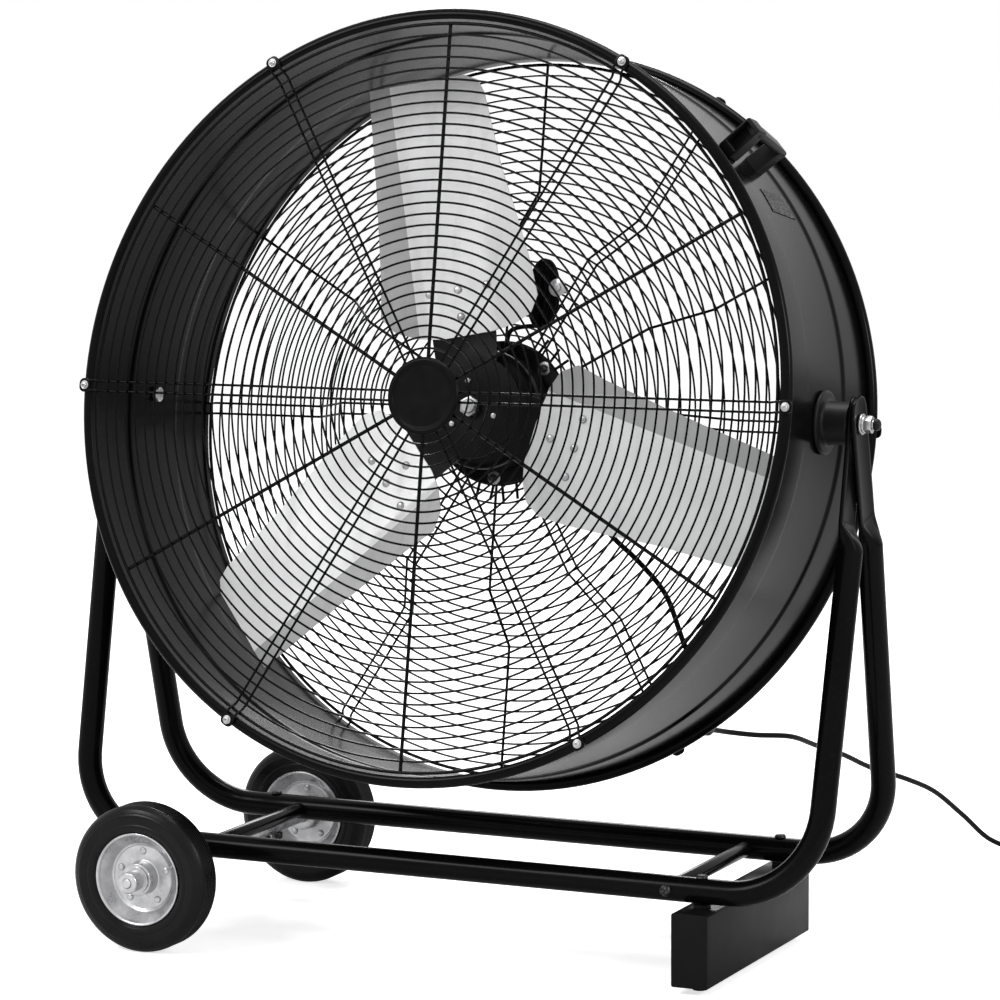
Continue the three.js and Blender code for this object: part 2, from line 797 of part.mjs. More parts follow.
function rotorShaft() {
  const front = HUB_FRONT_Y - GAP - NUT_H - SHAFT_STICK_OUT;
  const back = MOTOR_FRONT_Y + MOTOR_CAP_LENGTH - 1;
  const nut = new THREE.CylinderGeometry(NUT_R, NUT_R, NUT_H, 6);
  nut.translate(0, HUB_FRONT_Y - GAP - NUT_H / 2, 0);
  return join([discs([[SHAFT_D / 2, front, back]], 20), nut]);
}

// ---------------------------------------------------------------- handle, plate, pivots
// A profile in [radius, depth] extruded across the drum's rim at an angle.
function acrossRim(outline, half, deg) {
  const shape = new THREE.Shape();
  outline.forEach(([r, y], i) => (i === 0 ? shape.moveTo(r, y) : shape.lineTo(r, y)));
  const geometry = new THREE.ExtrudeGeometry(shape, { depth: 2 * half, bevelEnabled: false });
  return swing(geometry.translate(0, 0, -half), deg);
}

function handle() {
  const frontSeat = facetR(bandR, HANDLE_DEG) + 2 * GAP;
  const rearSeat = facetR(WALL_R, HANDLE_DEG) + 2 * GAP;
  const under = HANDLE_TOP_R - HANDLE_BAR_T;
  const frontIn = HANDLE_FRONT_Y + HANDLE_POST;
  const rearIn = HANDLE_REAR_Y - HANDLE_POST;
  const outline = [
    [frontSeat, HANDLE_FRONT_Y + 3],
    [HANDLE_TOP_R - 3, HANDLE_FRONT_Y],
    [HANDLE_TOP_R, HANDLE_FRONT_Y + 3],
    [HANDLE_TOP_R - 6, (HANDLE_FRONT_Y + HANDLE_REAR_Y) / 2],
    [HANDLE_TOP_R - 14, HANDLE_REAR_Y],
    [rearSeat, HANDLE_REAR_Y - 6],
    [rearSeat, rearIn - 8],
    [under - 8, rearIn],
    [under, frontIn + 4],
    [frontSeat, frontIn],
  ];
  const y0 = HANDLE_FRONT_Y - 5;
  const depth = HANDLE_FRONT_Y + HANDLE_POCKET_DEPTH;
  const low = frontSeat + 13;
  const high = HANDLE_TOP_R - HANDLE_POCKET_WALL;
  const pocket = acrossRim(
    [[low, y0], [high, y0], [high - 2, depth], [low + 2, depth]],
    HANDLE_HALF - HANDLE_POCKET_WALL,
    HANDLE_DEG,
  );
  return cut(solid(acrossRim(outline, HANDLE_HALF, HANDLE_DEG)), [pocket]);
}

function ratingPlate() {
  const seat = facetR(WALL_R, PLATE_DEG) + GAP;
  const outline = [
    [seat, PLATE_Y0],
    [seat + PLATE_T, PLATE_Y0],
    [seat + PLATE_T, PLATE_Y1],
    [seat, PLATE_Y1],
  ];
  return solid(acrossRim(outline, PLATE_WIDTH / 2, PLATE_DEG));
}

// Profiles about the tilt axis are turned about Y and then laid along X.
function alongX(geometry, side) {
  return side > 0 ? geometry.rotateZ(-Math.PI / 2) : geometry.rotateZ(Math.PI / 2);
}

function pivotBoss(side) {
  const seat = WALL_R + GAP;
  const inner = clearR(PIVOT_BOLT_D / 2, 14);
  const profile = [
    [inner, seat],
    [BOSS_FLANGE_R, seat],
    [BOSS_FLANGE_R, seat + BOSS_FLANGE_T],
    [BOSS_R, seat + BOSS_FLANGE_T + 2],
    [BOSS_R, BOSS_END_X],
    [inner, BOSS_END_X],
  ];
  return solid(alongX(ringLathe(profile, 14), side));
}

const strapInner = BOSS_END_X + GAP;
const strapMiddle = strapInner + STRAP_T;
const strapOuter = strapMiddle + GAP + STRAP_T;

function pivotBolt(side) {
  const headSeat = facetR(WALL_R - WALL_T, 3) - GAP;
  const washer = strapOuter + GAP;
  const nut = washer + PIVOT_WASHER_T;
  const stack = discs([
    [PIVOT_HEAD_R, headSeat - PIVOT_HEAD_H, headSeat],
    [PIVOT_BOLT_D / 2, headSeat, washer],
    [PIVOT_WASHER_R, washer, nut],
    [PIVOT_CAP_R, nut, nut + PIVOT_NUT_H + 1],
    [PIVOT_CAP_R - 0.5, nut + PIVOT_NUT_H + PIVOT_CAP_H - 3, nut + PIVOT_NUT_H + PIVOT_CAP_H - 3],
    [PIVOT_CAP_R - 3, nut + PIVOT_NUT_H + PIVOT_CAP_H, nut + PIVOT_NUT_H + PIVOT_CAP_H],
  ], 10);
  const hex = new THREE.CylinderGeometry(PIVOT_NUT_R, PIVOT_NUT_R, PIVOT_NUT_H, 6);
  hex.translate(0, nut - 0.5 + PIVOT_NUT_H / 2, 0);
  return join([alongX(stack, side), alongX(hex, side)]);
}

// ---------------------------------------------------------------- frame
// Each U lies in a plane through the tilt axis that leans out to one side.
function legPlane(side) {
  const down = V(0, side * TUBE_Y, TUBE_Z - PIVOT_Z);
  const length = down.length();
  down.normalize();
  const point = (x, s) => V(x, down.y * s, PIVOT_Z + down.z * s);
  return { down, length, point };
}

function strapAt(side, end) {
  const { down, point } = legPlane(side);
  const across = V(0, down.z, -down.y);
  const inner = side < 0 ? strapInner : strapMiddle + GAP;
  const corner = (x, s, w) => point(end * x, s).addScaledVector(across, w);
  const outline = [];
  outline.push([FLAT_END, -STRAP_HALF], [FLAT_END, STRAP_HALF]);
  for (let i = 0; i <= 2; i++) {
    const a = i * Math.PI / 4;
    outline.push([
      -(STRAP_TOP - STRAP_CORNER) - STRAP_CORNER * Math.sin(a),
      STRAP_HALF - STRAP_CORNER + STRAP_CORNER * Math.cos(a),
    ]);
  }
  for (let i = 2; i >= 0; i--) {
    const a = i * Math.PI / 4;
    outline.push([
      -(STRAP_TOP - STRAP_CORNER) - STRAP_CORNER * Math.sin(a),
      -(STRAP_HALF - STRAP_CORNER) - STRAP_CORNER * Math.cos(a),
    ]);
  }
  const points = [];
  for (const [s, w] of outline) points.push(corner(inner, s, w), corner(inner + STRAP_T, s, w));
  const flat = new ConvexGeometry(points);
  const flare = [];
  for (const w of [-STRAP_HALF, STRAP_HALF]) {
    flare.push(corner(inner, FLAT_END - 1, w), corner(inner + STRAP_T, FLAT_END - 1, w));
  }
  for (let i = 0; i < TUBE_SIDES; i++) {
    const a = (i + 0.5) * 2 * Math.PI / TUBE_SIDES;
    const out = LEG_X_HIGH + TUBE_D / 2 * Math.cos(a);
    flare.push(corner(out, ROUND_START + 1, TUBE_D / 2 * Math.sin(a)));
  }
  return [flat, new ConvexGeometry(flare)];
}

function frameTube(side) {
  const { length, point } = legPlane(side);
  const bendTop = length - BEND_R;
  const stations = [];
  const bendSteps = 6;
  const half = [[LEG_X_HIGH, ROUND_START]];
  for (let i = 0; i <= bendSteps; i++) {
    const a = i * Math.PI / 2 / bendSteps;
    half.push([
      LEG_X_LOW - BEND_R + BEND_R * Math.cos(a),
      bendTop + BEND_R * Math.sin(a),
    ]);
  }
  for (const [x, s] of half) stations.push(point(x, s));
  for (const [x, s] of [...half].reverse()) stations.push(point(-x, s));
  const parts = [tubeAlong(stations, TUBE_D, TUBE_SIDES)];
  parts.push(...strapAt(side, 1), ...strapAt(side, -1));
  const y = side * TUBE_Y;
  const holes = [];
  const reach = strapOuter + 10;
  holes.push(bore(V(-reach, 0, PIVOT_Z), V(reach, 0, PIVOT_Z), PIVOT_BOLT_D, 8));
  for (const end of [-1, 1]) {
    const x = end * SUPPORT_X;
    holes.push(bore(V(x, y, TUBE_Z - TUBE_D), V(x, y, TUBE_Z + TUBE_D), BOLT_D));
    const c = end * CROSS_X;
    holes.push(bore(V(c, y - TUBE_D, TUBE_Z), V(c, y + TUBE_D, TUBE_Z), BOLT_D));
  }
  return cut(join(parts), holes);
}

const crossEnd = TUBE_Y - TUBE_D / 2 - GAP;

function crossTube(x) {
  const body = solid(bar(V(x, -crossEnd, TUBE_Z), V(x, crossEnd, TUBE_Z), CROSS_D, 12));
  const holes = [-1, 1].map((side) => {
    const from = V(x, side * (crossEnd - CROSS_BOLT_GRIP - 2), TUBE_Z);
    return bore(from, V(x, side * (crossEnd + 5), TUBE_Z), BOLT_D);
  });
  return cut(body, holes);
}

function crossBolt(x, side) {
  const seat = TUBE_Y + TUBE_D / 2 + GAP;
  const bolt = discs([
    [BOLT_D / 2, crossEnd - CROSS_BOLT_GRIP, seat],
    [BOLT_HEAD_D / 2, seat, seat + 1.5],
    [BOLT_HEAD_D / 2 - 3, seat + BOLT_HEAD_H, seat + BOLT_HEAD_H],
  ], BOLT_SEGMENTS);
  if (side < 0) bolt.rotateX(Math.PI);
  return solid(bolt.translate(x, 0, TUBE_Z));
}

const upright = (geometry) => geometry.rotateX(Math.PI / 2);
const topSeat = TUBE_Z + TUBE_D / 2 + GAP;
const domeHead = [
  [BOLT_HEAD_D / 2, topSeat, topSeat + 1.5],
  [BOLT_HEAD_D / 2 - 3, topSeat + BOLT_HEAD_H, topSeat + BOLT_HEAD_H],
];

// ---------------------------------------------------------------- foot box
const footX0 = SUPPORT_X - FOOT_W / 2;
const footX1 = SUPPORT_X + FOOT_W / 2;

function footBox() {
  const outside = block(footX0, footX1, -FOOT_HALF_LENGTH, FOOT_HALF_LENGTH, FOOT_BOTTOM, FOOT_TOP);
  const t = FOOT_WALL;
  const end = FOOT_HALF_LENGTH + 5;
  const tools = [block(footX0 + t, footX1 - t, -end, end, FOOT_BOTTOM + t, FOOT_TOP - t)];
  for (const side of [-1, 1]) {
    const y = side * TUBE_Y;
    tools.push(bore(V(SUPPORT_X, y, FOOT_TOP - 10), V(SUPPORT_X, y, TUBE_Z), BOLT_D));
    const r = side * RUBBER_Y;
    const under = V(SUPPORT_X, r, FOOT_BOTTOM - 5);
    tools.push(bore(under, V(SUPPORT_X, r, FOOT_BOTTOM + 10), RUBBER_STEM_D));
  }
  const low = FOOT_TOP - 1;
  const high = TUBE_Z - TUBE_D / 2 - GAP;
  let body = solid(outside);
  for (const side of [-1, 1]) {
    const boss = discs([[SPACER_D / 2, low, high]], 16);
    body = body.add(solid(upright(boss).translate(SUPPORT_X, side * TUBE_Y, 0)));
  }
  return cut(body, tools);
}

function footCap(side) {
  const y0 = FOOT_HALF_LENGTH + GAP;
  const cap = block(footX0, footX1, y0, y0 + FOOT_CAP_T, FOOT_BOTTOM, FOOT_TOP);
  const inset = FOOT_WALL + GAP;
  const x0 = footX0 + inset;
  const x1 = footX1 - inset;
  const z0 = FOOT_BOTTOM + inset;
  const z1 = FOOT_TOP - inset;
  const back = y0 - FOOT_CAP_PLUG;
  const plug = block(x0, x1, back, y0 + 1, z0, z1);
  const w = FOOT_CAP_WALL;
  const hollow = block(x0 + w, x1 - w, back - 5, y0, z0 + w, z1 - w);
  const body = cut(join([cap, plug]), [hollow]);
  return side > 0 ? body : body.mirror([0, 1, 0]);
}

function footBolt(side) {
  const nutTop = FOOT_TOP - FOOT_WALL - GAP;
  const bolt = discs([
    [FOOT_NUT_R, nutTop - FOOT_NUT_H, nutTop],
    [BOLT_D / 2, nutTop, topSeat],
    ...domeHead,
  ], BOLT_SEGMENTS);
  return solid(upright(bolt).translate(SUPPORT_X, side * TUBE_Y, 0));
}

function rubberFoot(side) {
  const top = FOOT_BOTTOM - GAP;
  const foot = discs([
    [RUBBER_D / 2 - 1.5, 0, 0],
    [RUBBER_D / 2, 2, top],
    [RUBBER_STEM_D / 2, top, FOOT_BOTTOM + FOOT_WALL + 2],
  ], 16);
  return solid(upright(foot).translate(SUPPORT_X, side * RUBBER_Y, 0));
}

// ---------------------------------------------------------------- axle and wheels
const axleX = -SUPPORT_X;

function axleBar() {
  const tip = AXLE_HALF + AXLE_TIP;
  const body = discs([
    [AXLE_TIP_D / 2, -tip, -AXLE_HALF],
    [AXLE_D / 2, -AXLE_HALF, AXLE_HALF],
    [AXLE_TIP_D / 2, AXLE_HALF, tip],
  ], 12).translate(axleX, 0, WHEEL_R);
  const holes = [-1, 1].map((side) => {
    const y = side * TUBE_Y;
    return bore(V(axleX, y, WHEEL_R - AXLE_D), V(axleX, y, WHEEL_R + AXLE_D), BOLT_D);
  });
  return cut(solid(body), holes);
}

function axleBolt(side) {
  const nutTop = WHEEL_R - AXLE_D / 2 - GAP;
  const bolt = discs([
    [BOLT_D / 2, nutTop - FOOT_NUT_H - 3, nutTop - FOOT_NUT_H],
    [FOOT_NUT_R, nutTop - FOOT_NUT_H, nutTop],
    [BOLT_D / 2, nutTop, topSeat],
    ...domeHead,
  ], BOLT_SEGMENTS);
  return solid(upright(bolt).translate(axleX, side * TUBE_Y, 0));
}

// A washer against the hub with a collar, and the nut on the axle's end, pressed together.
function axleNut(side) {
  const sides = 12;
  const wide = clearR(AXLE_D / 2, sides);
  const narrow = clearR(AXLE_TIP_D / 2, sides);
  const washer = WHEEL_Y + HUB_TUBE_HALF + GAP;
  const collar = AXLE_D / 2 + AXLE_COLLAR_T;
  const seat = AXLE_HALF + GAP;
  const profile = [
    [wide, washer],
    [AXLE_WASHER_D / 2, washer],
    [AXLE_WASHER_D / 2, washer + AXLE_WASHER_T],
    [collar, washer + AXLE_WASHER_T],
    [collar, seat + AXLE_NUT_H],
    [narrow, seat + AXLE_NUT_H],
    [narrow, seat],
    [wide, seat],
  ];
  let body = solid(ringLathe(profile, sides));
  if (side < 0) body = body.mirror([0, 1, 0]);
  return body.translate([axleX, 0, WHEEL_R]);
}

function wheelRim(side) {
  const inner = clearR(AXLE_D / 2, WHEEL_SEGMENTS);
  const lip = RIM_SEAT_R - RIM_SHEET;
  const half = [
    [HUB_TUBE_R, HUB_TUBE_HALF],
    [HUB_TUBE_R, DISC_HALF_T],
    [DISC_R - 3.5, DISC_HALF_T],
    [DISC_R, DISC_HALF_T + RIM_SHEET],
    [lip, RIM_HALF],
    [RIM_SEAT_R, RIM_HALF],
  ];
  const profile = [[inner, HUB_TUBE_HALF], ...half];
  for (const [r, y] of [...half].reverse()) profile.push([r, -y]);
  profile.push([inner, -HUB_TUBE_HALF]);
  const parts = [ringLathe(profile, WHEEL_SEGMENTS)];
  const end = DISC_HALF_T + RIM_RIVET_H;
  for (let i = 0; i < RIM_RIVETS; i++) {
    const at = polar(RIM_RIVET_R, 90 + i * 360 / RIM_RIVETS, 0);
    parts.push(discs([[RIM_RIVET_D / 2, -end, end]], 6).translate(at.x, 0, at.z));
  }
  return join(parts).translate([axleX, side * WHEEL_Y, WHEEL_R]);
}

function tyre(side) {
  const inner = RIM_SEAT_R + GAP;
  const w = WHEEL_W / 2;
  const half = [
    [inner, w - 4],
    [inner + 6, w - 0.5],
    [WHEEL_R - 12, w],
    [WHEEL_R - 4, w - 5],
    [WHEEL_R, w - 11],
  ];
  const profile = [...half];
  for (const [r, y] of [...half].reverse()) profile.push([r, -y]);
  return solid(ringLathe(profile, WHEEL_SEGMENTS)).translate([axleX, side * WHEEL_Y, WHEEL_R]);
}

// ---------------------------------------------------------------- leads inside the drum
// A hank of flat oval loops piled along the drum axis, from the motor lead's end.
function hankPath() {
  const stations = [];
  const first = DISH_Y - spokeDrop - WIRE_D / 2 - GAP - HANK_TUBE_D / 2 - 0.3;
  const steps = HANK_LOOPS * 24;
  for (let i = 0; i <= steps; i++) {
    const a = -Math.PI / 2 + i * 2 * Math.PI / 24;
    const x = HANK_X + HANK_HALF_W * Math.cos(a);
    const z = HANK_Z + HANK_HALF_H * Math.sin(a);
    stations.push(V(x, first - HANK_PITCH * i / 24, z));
  }
  return stations;
}

function leadHank() {
  const stations = hankPath();
  const start = stations[0];
  const end = stations[stations.length - 1];
  const first = V(start.x - HANK_TUBE_D, start.y, start.z);
  const last = V(end.x + HANK_TUBE_D, end.y, end.z);
  return solid(tubeAlong([first, ...stations, last], HANK_TUBE_D, 6));
}

// Stations of a lead with a straight length at each end, square to what it meets.
function leadStations(points, out, back, straight, step) {
  const first = points[0].clone().addScaledVector(out, straight);
  const last = points[points.length - 1].clone().addScaledVector(back, straight);
  const middle = smooth([first, ...points.slice(1, -1), last], step);
  return [points[0], ...middle, points[points.length - 1]];
}

function motorLead() {
  const start = hankPath()[0];
  const from = V(start.x - HANK_TUBE_D - GAP, start.y, start.z);
  const r = MOTOR_R + GAP;
  const y = (MOTOR_FRONT_Y + MOTOR_CAP_LENGTH + plateFront) / 2 + 14;
  const foot = polar(r + 2, 84, y);
  const points = [from, V(foot.x + 3, y + 3, from.z - 8), foot];
  return solid(tubeAlong(leadStations(points, V(-1, 0, 0), V(0, 0, 1), 7, 9), HANK_TUBE_D, 8));
}

function leadClip() {
  const back = DISH_Y - spokeDrop - WIRE_D / 2 - GAP;
  const front = back - HANK_TUBE_D - HANK_PITCH * HANK_LOOPS - 3;
  const x = HANK_X + HANK_HALF_W + HANK_TUBE_D + 5;
  return solid(discs([
    [5.5, front - 4, front - 1.5],
    [11.5, front - 1.5, front],
    [5, front, back],
  ], 10).translate(x, 0, HANK_Z + 12));
}

const innerLeadBack = GRILLE_Y + RIM_WIRE_D / 2 + 2 * GAP + INNER_LEAD_D / 2;

function innerLead() {
  const y = plateBack + GAP + TERMINAL_DEPTH - 14;
  const start = V(TERMINAL_HALF + GAP, y, 10 - TERMINAL_HALF);
  const points = [start, polar(150, -44, y + 4), polar(215, -44.3, y + 8)];
  points.push(polar(249, -44.7, y + 34), polar(290, -45.4, innerLeadBack - 1));
  points.push(polar(312, -46, innerLeadBack), polar(365, -48.8, innerLeadBack));
  points.push(polar(399, -50, innerLeadBack), polar(432, -52.2, innerLeadBack + 2));
  points.push(polar(beadRing - GLAND_D / 2 - GAP, GLAND_DEG, innerLeadBack + 6));
  const back = polar(-1, GLAND_DEG, 0);
  return solid(tubeAlong(leadStations(points, V(1, 0, 0), back, 9, 24), INNER_LEAD_D, 6));
}

function leadGland() {
  const seat = DRUM_HALF + BEAD_R + GAP;
  const at = polar(beadRing, GLAND_DEG, 0);
  const body = discs([
    [GLAND_D / 2, seat, seat + GLAND_LENGTH * 0.6],
    [GLAND_D / 2 - 2.5, seat + GLAND_LENGTH, seat + GLAND_LENGTH],
  ], 16).translate(at.x, 0, at.z);
  return solid(body);
}

// ---------------------------------------------------------------- mains cord
// Hand-chosen points behind the drum and down to the floor.
const floorZ = CORD_D / 2 + FLOOR_CLEARANCE;
const CORD_ROUTE = [
  [286, 150, 266],
  [306, 196, 256],
  [332, 250, 247],
  [339, 330, 222],
  [349, 410, 196],
  [361, 480, 168],
  [387, 560, 139],
  [403, 625, 112],
  [420, 700, 66],
  [440, 765, 20],
  [465, 800, floorZ],
  [500, 830, floorZ],
];
const COIL_START = V(540, 860, floorZ);
const COIL_HEADING = V(0.8, 0.6, 0);

function glandEnd() {
  const at = polar(beadRing, GLAND_DEG, DRUM_HALF + BEAD_R + GAP + GLAND_LENGTH + GAP);
  return drumToWorld(at);
}

function drumToWorld(point) {
  return point.clone().applyAxisAngle(V(1, 0, 0), -rad(TILT_DEG)).add(V(0, 0, PIVOT_Z));
}

function mainsCord() {
  const start = glandEnd();
  const out = V(0, 1, 0).applyAxisAngle(V(1, 0, 0), -rad(TILT_DEG));
  const points = [start, start.clone().addScaledVector(out, 14)];
  for (const [x, y, z] of CORD_ROUTE) points.push(V(x, y, z));
  const end = COIL_START.clone().addScaledVector(COIL_HEADING, -CORD_D - GAP);
  points.push(end.clone().addScaledVector(COIL_HEADING, -12), end);
  const stations = smooth(points, 2.8 * CORD_D);
  for (const p of stations) p.z = Math.max(p.z, floorZ);
  return { stations, body: solid(tubeAlong(stations, CORD_D, 8)) };
}

// Spirals in on the floor, climbs over half a turn where it turns back, and spirals out on top.
function coilPath() {
  const side = V(-COIL_HEADING.y, COIL_HEADING.x, 0);
  const centre = COIL_START.clone().addScaledVector(side, COIL_R);
  const stations = [COIL_START.clone().addScaledVector(COIL_HEADING, -CORD_D)];
  const begin = Math.atan2(-side.y, -side.x);
  const steps = COIL_TURNS * COIL_STEPS;
  for (let i = 0; i <= steps; i++) {
    const turn = i / COIL_STEPS;
    const inward = Math.min(turn, COIL_TURNS - turn);
    const r = COIL_R - COIL_PITCH * inward;
    const climb = Math.min(Math.max((turn - COIL_TURNS / 2 + 0.25) / 0.5, 0), 1);
    const a = begin + turn * 2 * Math.PI;
    const z = floorZ + COIL_LAYER * climb;
    stations.push(V(centre.x + r * Math.cos(a), centre.y + r * Math.sin(a), z));
  }
  const top = V(COIL_START.x, COIL_START.y, floorZ + COIL_LAYER);
  stations.push(top.clone().addScaledVector(COIL_HEADING, COIL_EXIT));
  return stations;
}

// Least distance between parts of a path that lie over two diameters apart along it.
function leastGap(stations, diameter) {
  let least = Infinity;
  const fine = [];
  for (let i = 0; i < stations.length - 1; i++) {
    for (let k = 0; k < 4; k++) fine.push(stations[i].clone().lerp(stations[i + 1], k / 4));
  }
  const along = [0];
  for (let i = 1; i < fine.length; i++) along.push(along[i - 1] + fine[i].distanceTo(fine[i - 1]));
  for (let i = 0; i < fine.length; i++) {
    for (let j = i + 1; j < fine.length; j++) {
      if (along[j] - along[i] < 4 * diameter) continue;
      least = Math.min(least, fine[i].distanceTo(fine[j]) - diameter);
    }
  }
  return least;
}

function mainsPlug() {
  const z = floorZ + COIL_LAYER;
  const half = z - FLOOR_CLEARANCE;
  const x0 = COIL_EXIT + GAP;
  const boot = new THREE.CylinderGeometry(6.5, 4.8, PLUG_BOOT, 12);
  boot.rotateZ(-Math.PI / 2).translate(x0 + PLUG_BOOT / 2, 0, 0);
  const shape = new THREE.Shape();
  const body0 = x0 + PLUG_BOOT - 2;
  const body1 = body0 + PLUG_L;
  const w = PLUG_W / 2;
  shape.moveTo(body0, -w + 12);
  shape.lineTo(body0 + 12, -w);
  shape.lineTo(body1, -w);
  shape.lineTo(body1, w);
  shape.lineTo(body0 + 12, w);
  shape.lineTo(body0, w - 12);
  const body = new THREE.ExtrudeGeometry(shape, { depth: 2 * half, bevelEnabled: false });
  body.translate(0, 0, -half);
  const pins = [[body1 - 12, 0, 8, 4], [body1 - 34, 11, 4, 6.3], [body1 - 34, -11, 4, 6.3]];
  const parts = [body, boot];
  for (const [x, y, wx, wy] of pins) {
    parts.push(block(x - wx / 2, x + wx / 2, y - wy / 2, y + wy / 2, half - 1, half + PIN_L));
  }
  const turn = Math.atan2(COIL_HEADING.y, COIL_HEADING.x) * 180 / Math.PI;
  return join(parts).rotate([0, 0, turn]).translate([COIL_START.x, COIL_START.y, z]);
}

// ---------------------------------------------------------------- assembly
const fan = new THREE.Group();
fan.name = 'drum_fan';

const drum = new THREE.Group();
drum.position.set(0, 0, PIVOT_Z);
drum.rotation.x = -rad(TILT_DEG);
fan.add(drum);

const pivots = new THREE.Group();
pivots.position.set(0, 0, PIVOT_Z);
fan.add(pivots);

addMesh(drum, 'drum_shell', drumShell(), blackGloss());
addMesh(drum, 'front_grille', frontGrille(), blackWire());
addMesh(drum, 'rear_grille', rearGrille(), blackWire());
addMesh(drum, 'grille_badge', badge(), blackPlastic());
for (let i = 0; i < SCREW_COUNT; i++) {
  const deg = PATTERN_TURN_DEG + i * 360 / SCREW_COUNT;
  addMesh(drum, `grille_screw_${i + 1}`, grilleScrew(deg), zinc());
}
addMesh(drum, 'handle', handle(), blackPlastic());
addMesh(drum, 'rating_plate', ratingPlate(), darkSteel());
addMesh(drum, 'motor_body', motorBody(), blackGloss());
addMesh(drum, 'motor_front_cap', motorCap(), blackGloss());
MOTOR_BOLT_ANGLES.forEach((deg, i) => {
  addMesh(drum, `motor_bolt_${i + 1}`, motorBolt(deg), zinc());
});
addMesh(drum, 'terminal_box', terminalBox(), blackPlastic());
addMesh(drum, 'speed_knob', speedKnob(), blackPlastic());
addMesh(drum, 'lead_hank', leadHank(), rubber());
addMesh(drum, 'lead_clip', leadClip(), zinc());
addMesh(drum, 'motor_lead', motorLead(), rubber());
addMesh(drum, 'inner_lead', innerLead(), rubber());
addMesh(drum, 'lead_gland', leadGland(), blackPlastic());

addMesh(drum, 'rotor_shaft', rotorShaft(), zinc());
addMesh(drum, 'rotor_spider', spider(), darkSteel());
BLADE_ANGLES.forEach((deg, i) => {
  const mesh = addMesh(drum, `blade_${i + 1}`, blade(), greySteel());
  mesh.rotation.y = -rad(deg);
});

addMesh(pivots, 'pivot_boss_right', pivotBoss(1), blackGloss());
addMesh(pivots, 'pivot_boss_left', pivotBoss(-1), blackGloss());
addMesh(pivots, 'pivot_bolt_right', pivotBolt(1), zinc());
addMesh(pivots, 'pivot_bolt_left', pivotBolt(-1), zinc());

addMesh(fan, 'front_frame_tube', frameTube(-1), blackGloss());
addMesh(fan, 'rear_frame_tube', frameTube(1), blackGloss());
for (const [end, x] of [['foot_end', CROSS_X], ['wheel_end', -CROSS_X]]) {
  addMesh(fan, `${end}_cross_tube`, crossTube(x), blackGloss());
  addMesh(fan, `${end}_cross_bolt_front`, crossBolt(x, -1), zinc());
  addMesh(fan, `${end}_cross_bolt_rear`, crossBolt(x, 1), zinc());
}
addMesh(fan, 'foot_box', footBox(), darkFoot());
for (const [where, side] of [['front', -1], ['rear', 1]]) {
  addMesh(fan, `foot_box_cap_${where}`, footCap(side), blackPlastic());
  addMesh(fan, `foot_box_bolt_${where}`, footBolt(side), darkSteel());
  addMesh(fan, `rubber_foot_${where}`, rubberFoot(side), rubber());
  addMesh(fan, `axle_bolt_${where}`, axleBolt(side), darkSteel());
  addMesh(fan, `axle_nut_${where}`, axleNut(side), zinc());
  addMesh(fan, `wheel_rim_${where}`, wheelRim(side), zinc());
  addMesh(fan, `tyre_${where}`, tyre(side), rubber());
}
addMesh(fan, 'axle_bar', axleBar(), darkSteel());

const cord = mainsCord();
addMesh(fan, 'mains_cord', cord.body, rubber());
const coil = coilPath();
addMesh(fan, 'mains_cord_coil', solid(tubeAlong(coil, CORD_D, 6)), rubber());
addMesh(fan, 'mains_plug', mainsPlug(), blackPlastic());

const lengthOf = (stations) =>
  stations.slice(1).reduce((sum, p, i) => sum + p.distanceTo(stations[i]), 0);
console.log('coil least gap', leastGap(coil, CORD_D).toFixed(2), 'mm');
console.log('hank least gap', leastGap(hankPath(), HANK_TUBE_D).toFixed(2), 'mm');
console.log('cord', lengthOf(cord.stations).toFixed(0), 'mm, coil', lengthOf(coil).toFixed(0), 'mm');

export default fan;
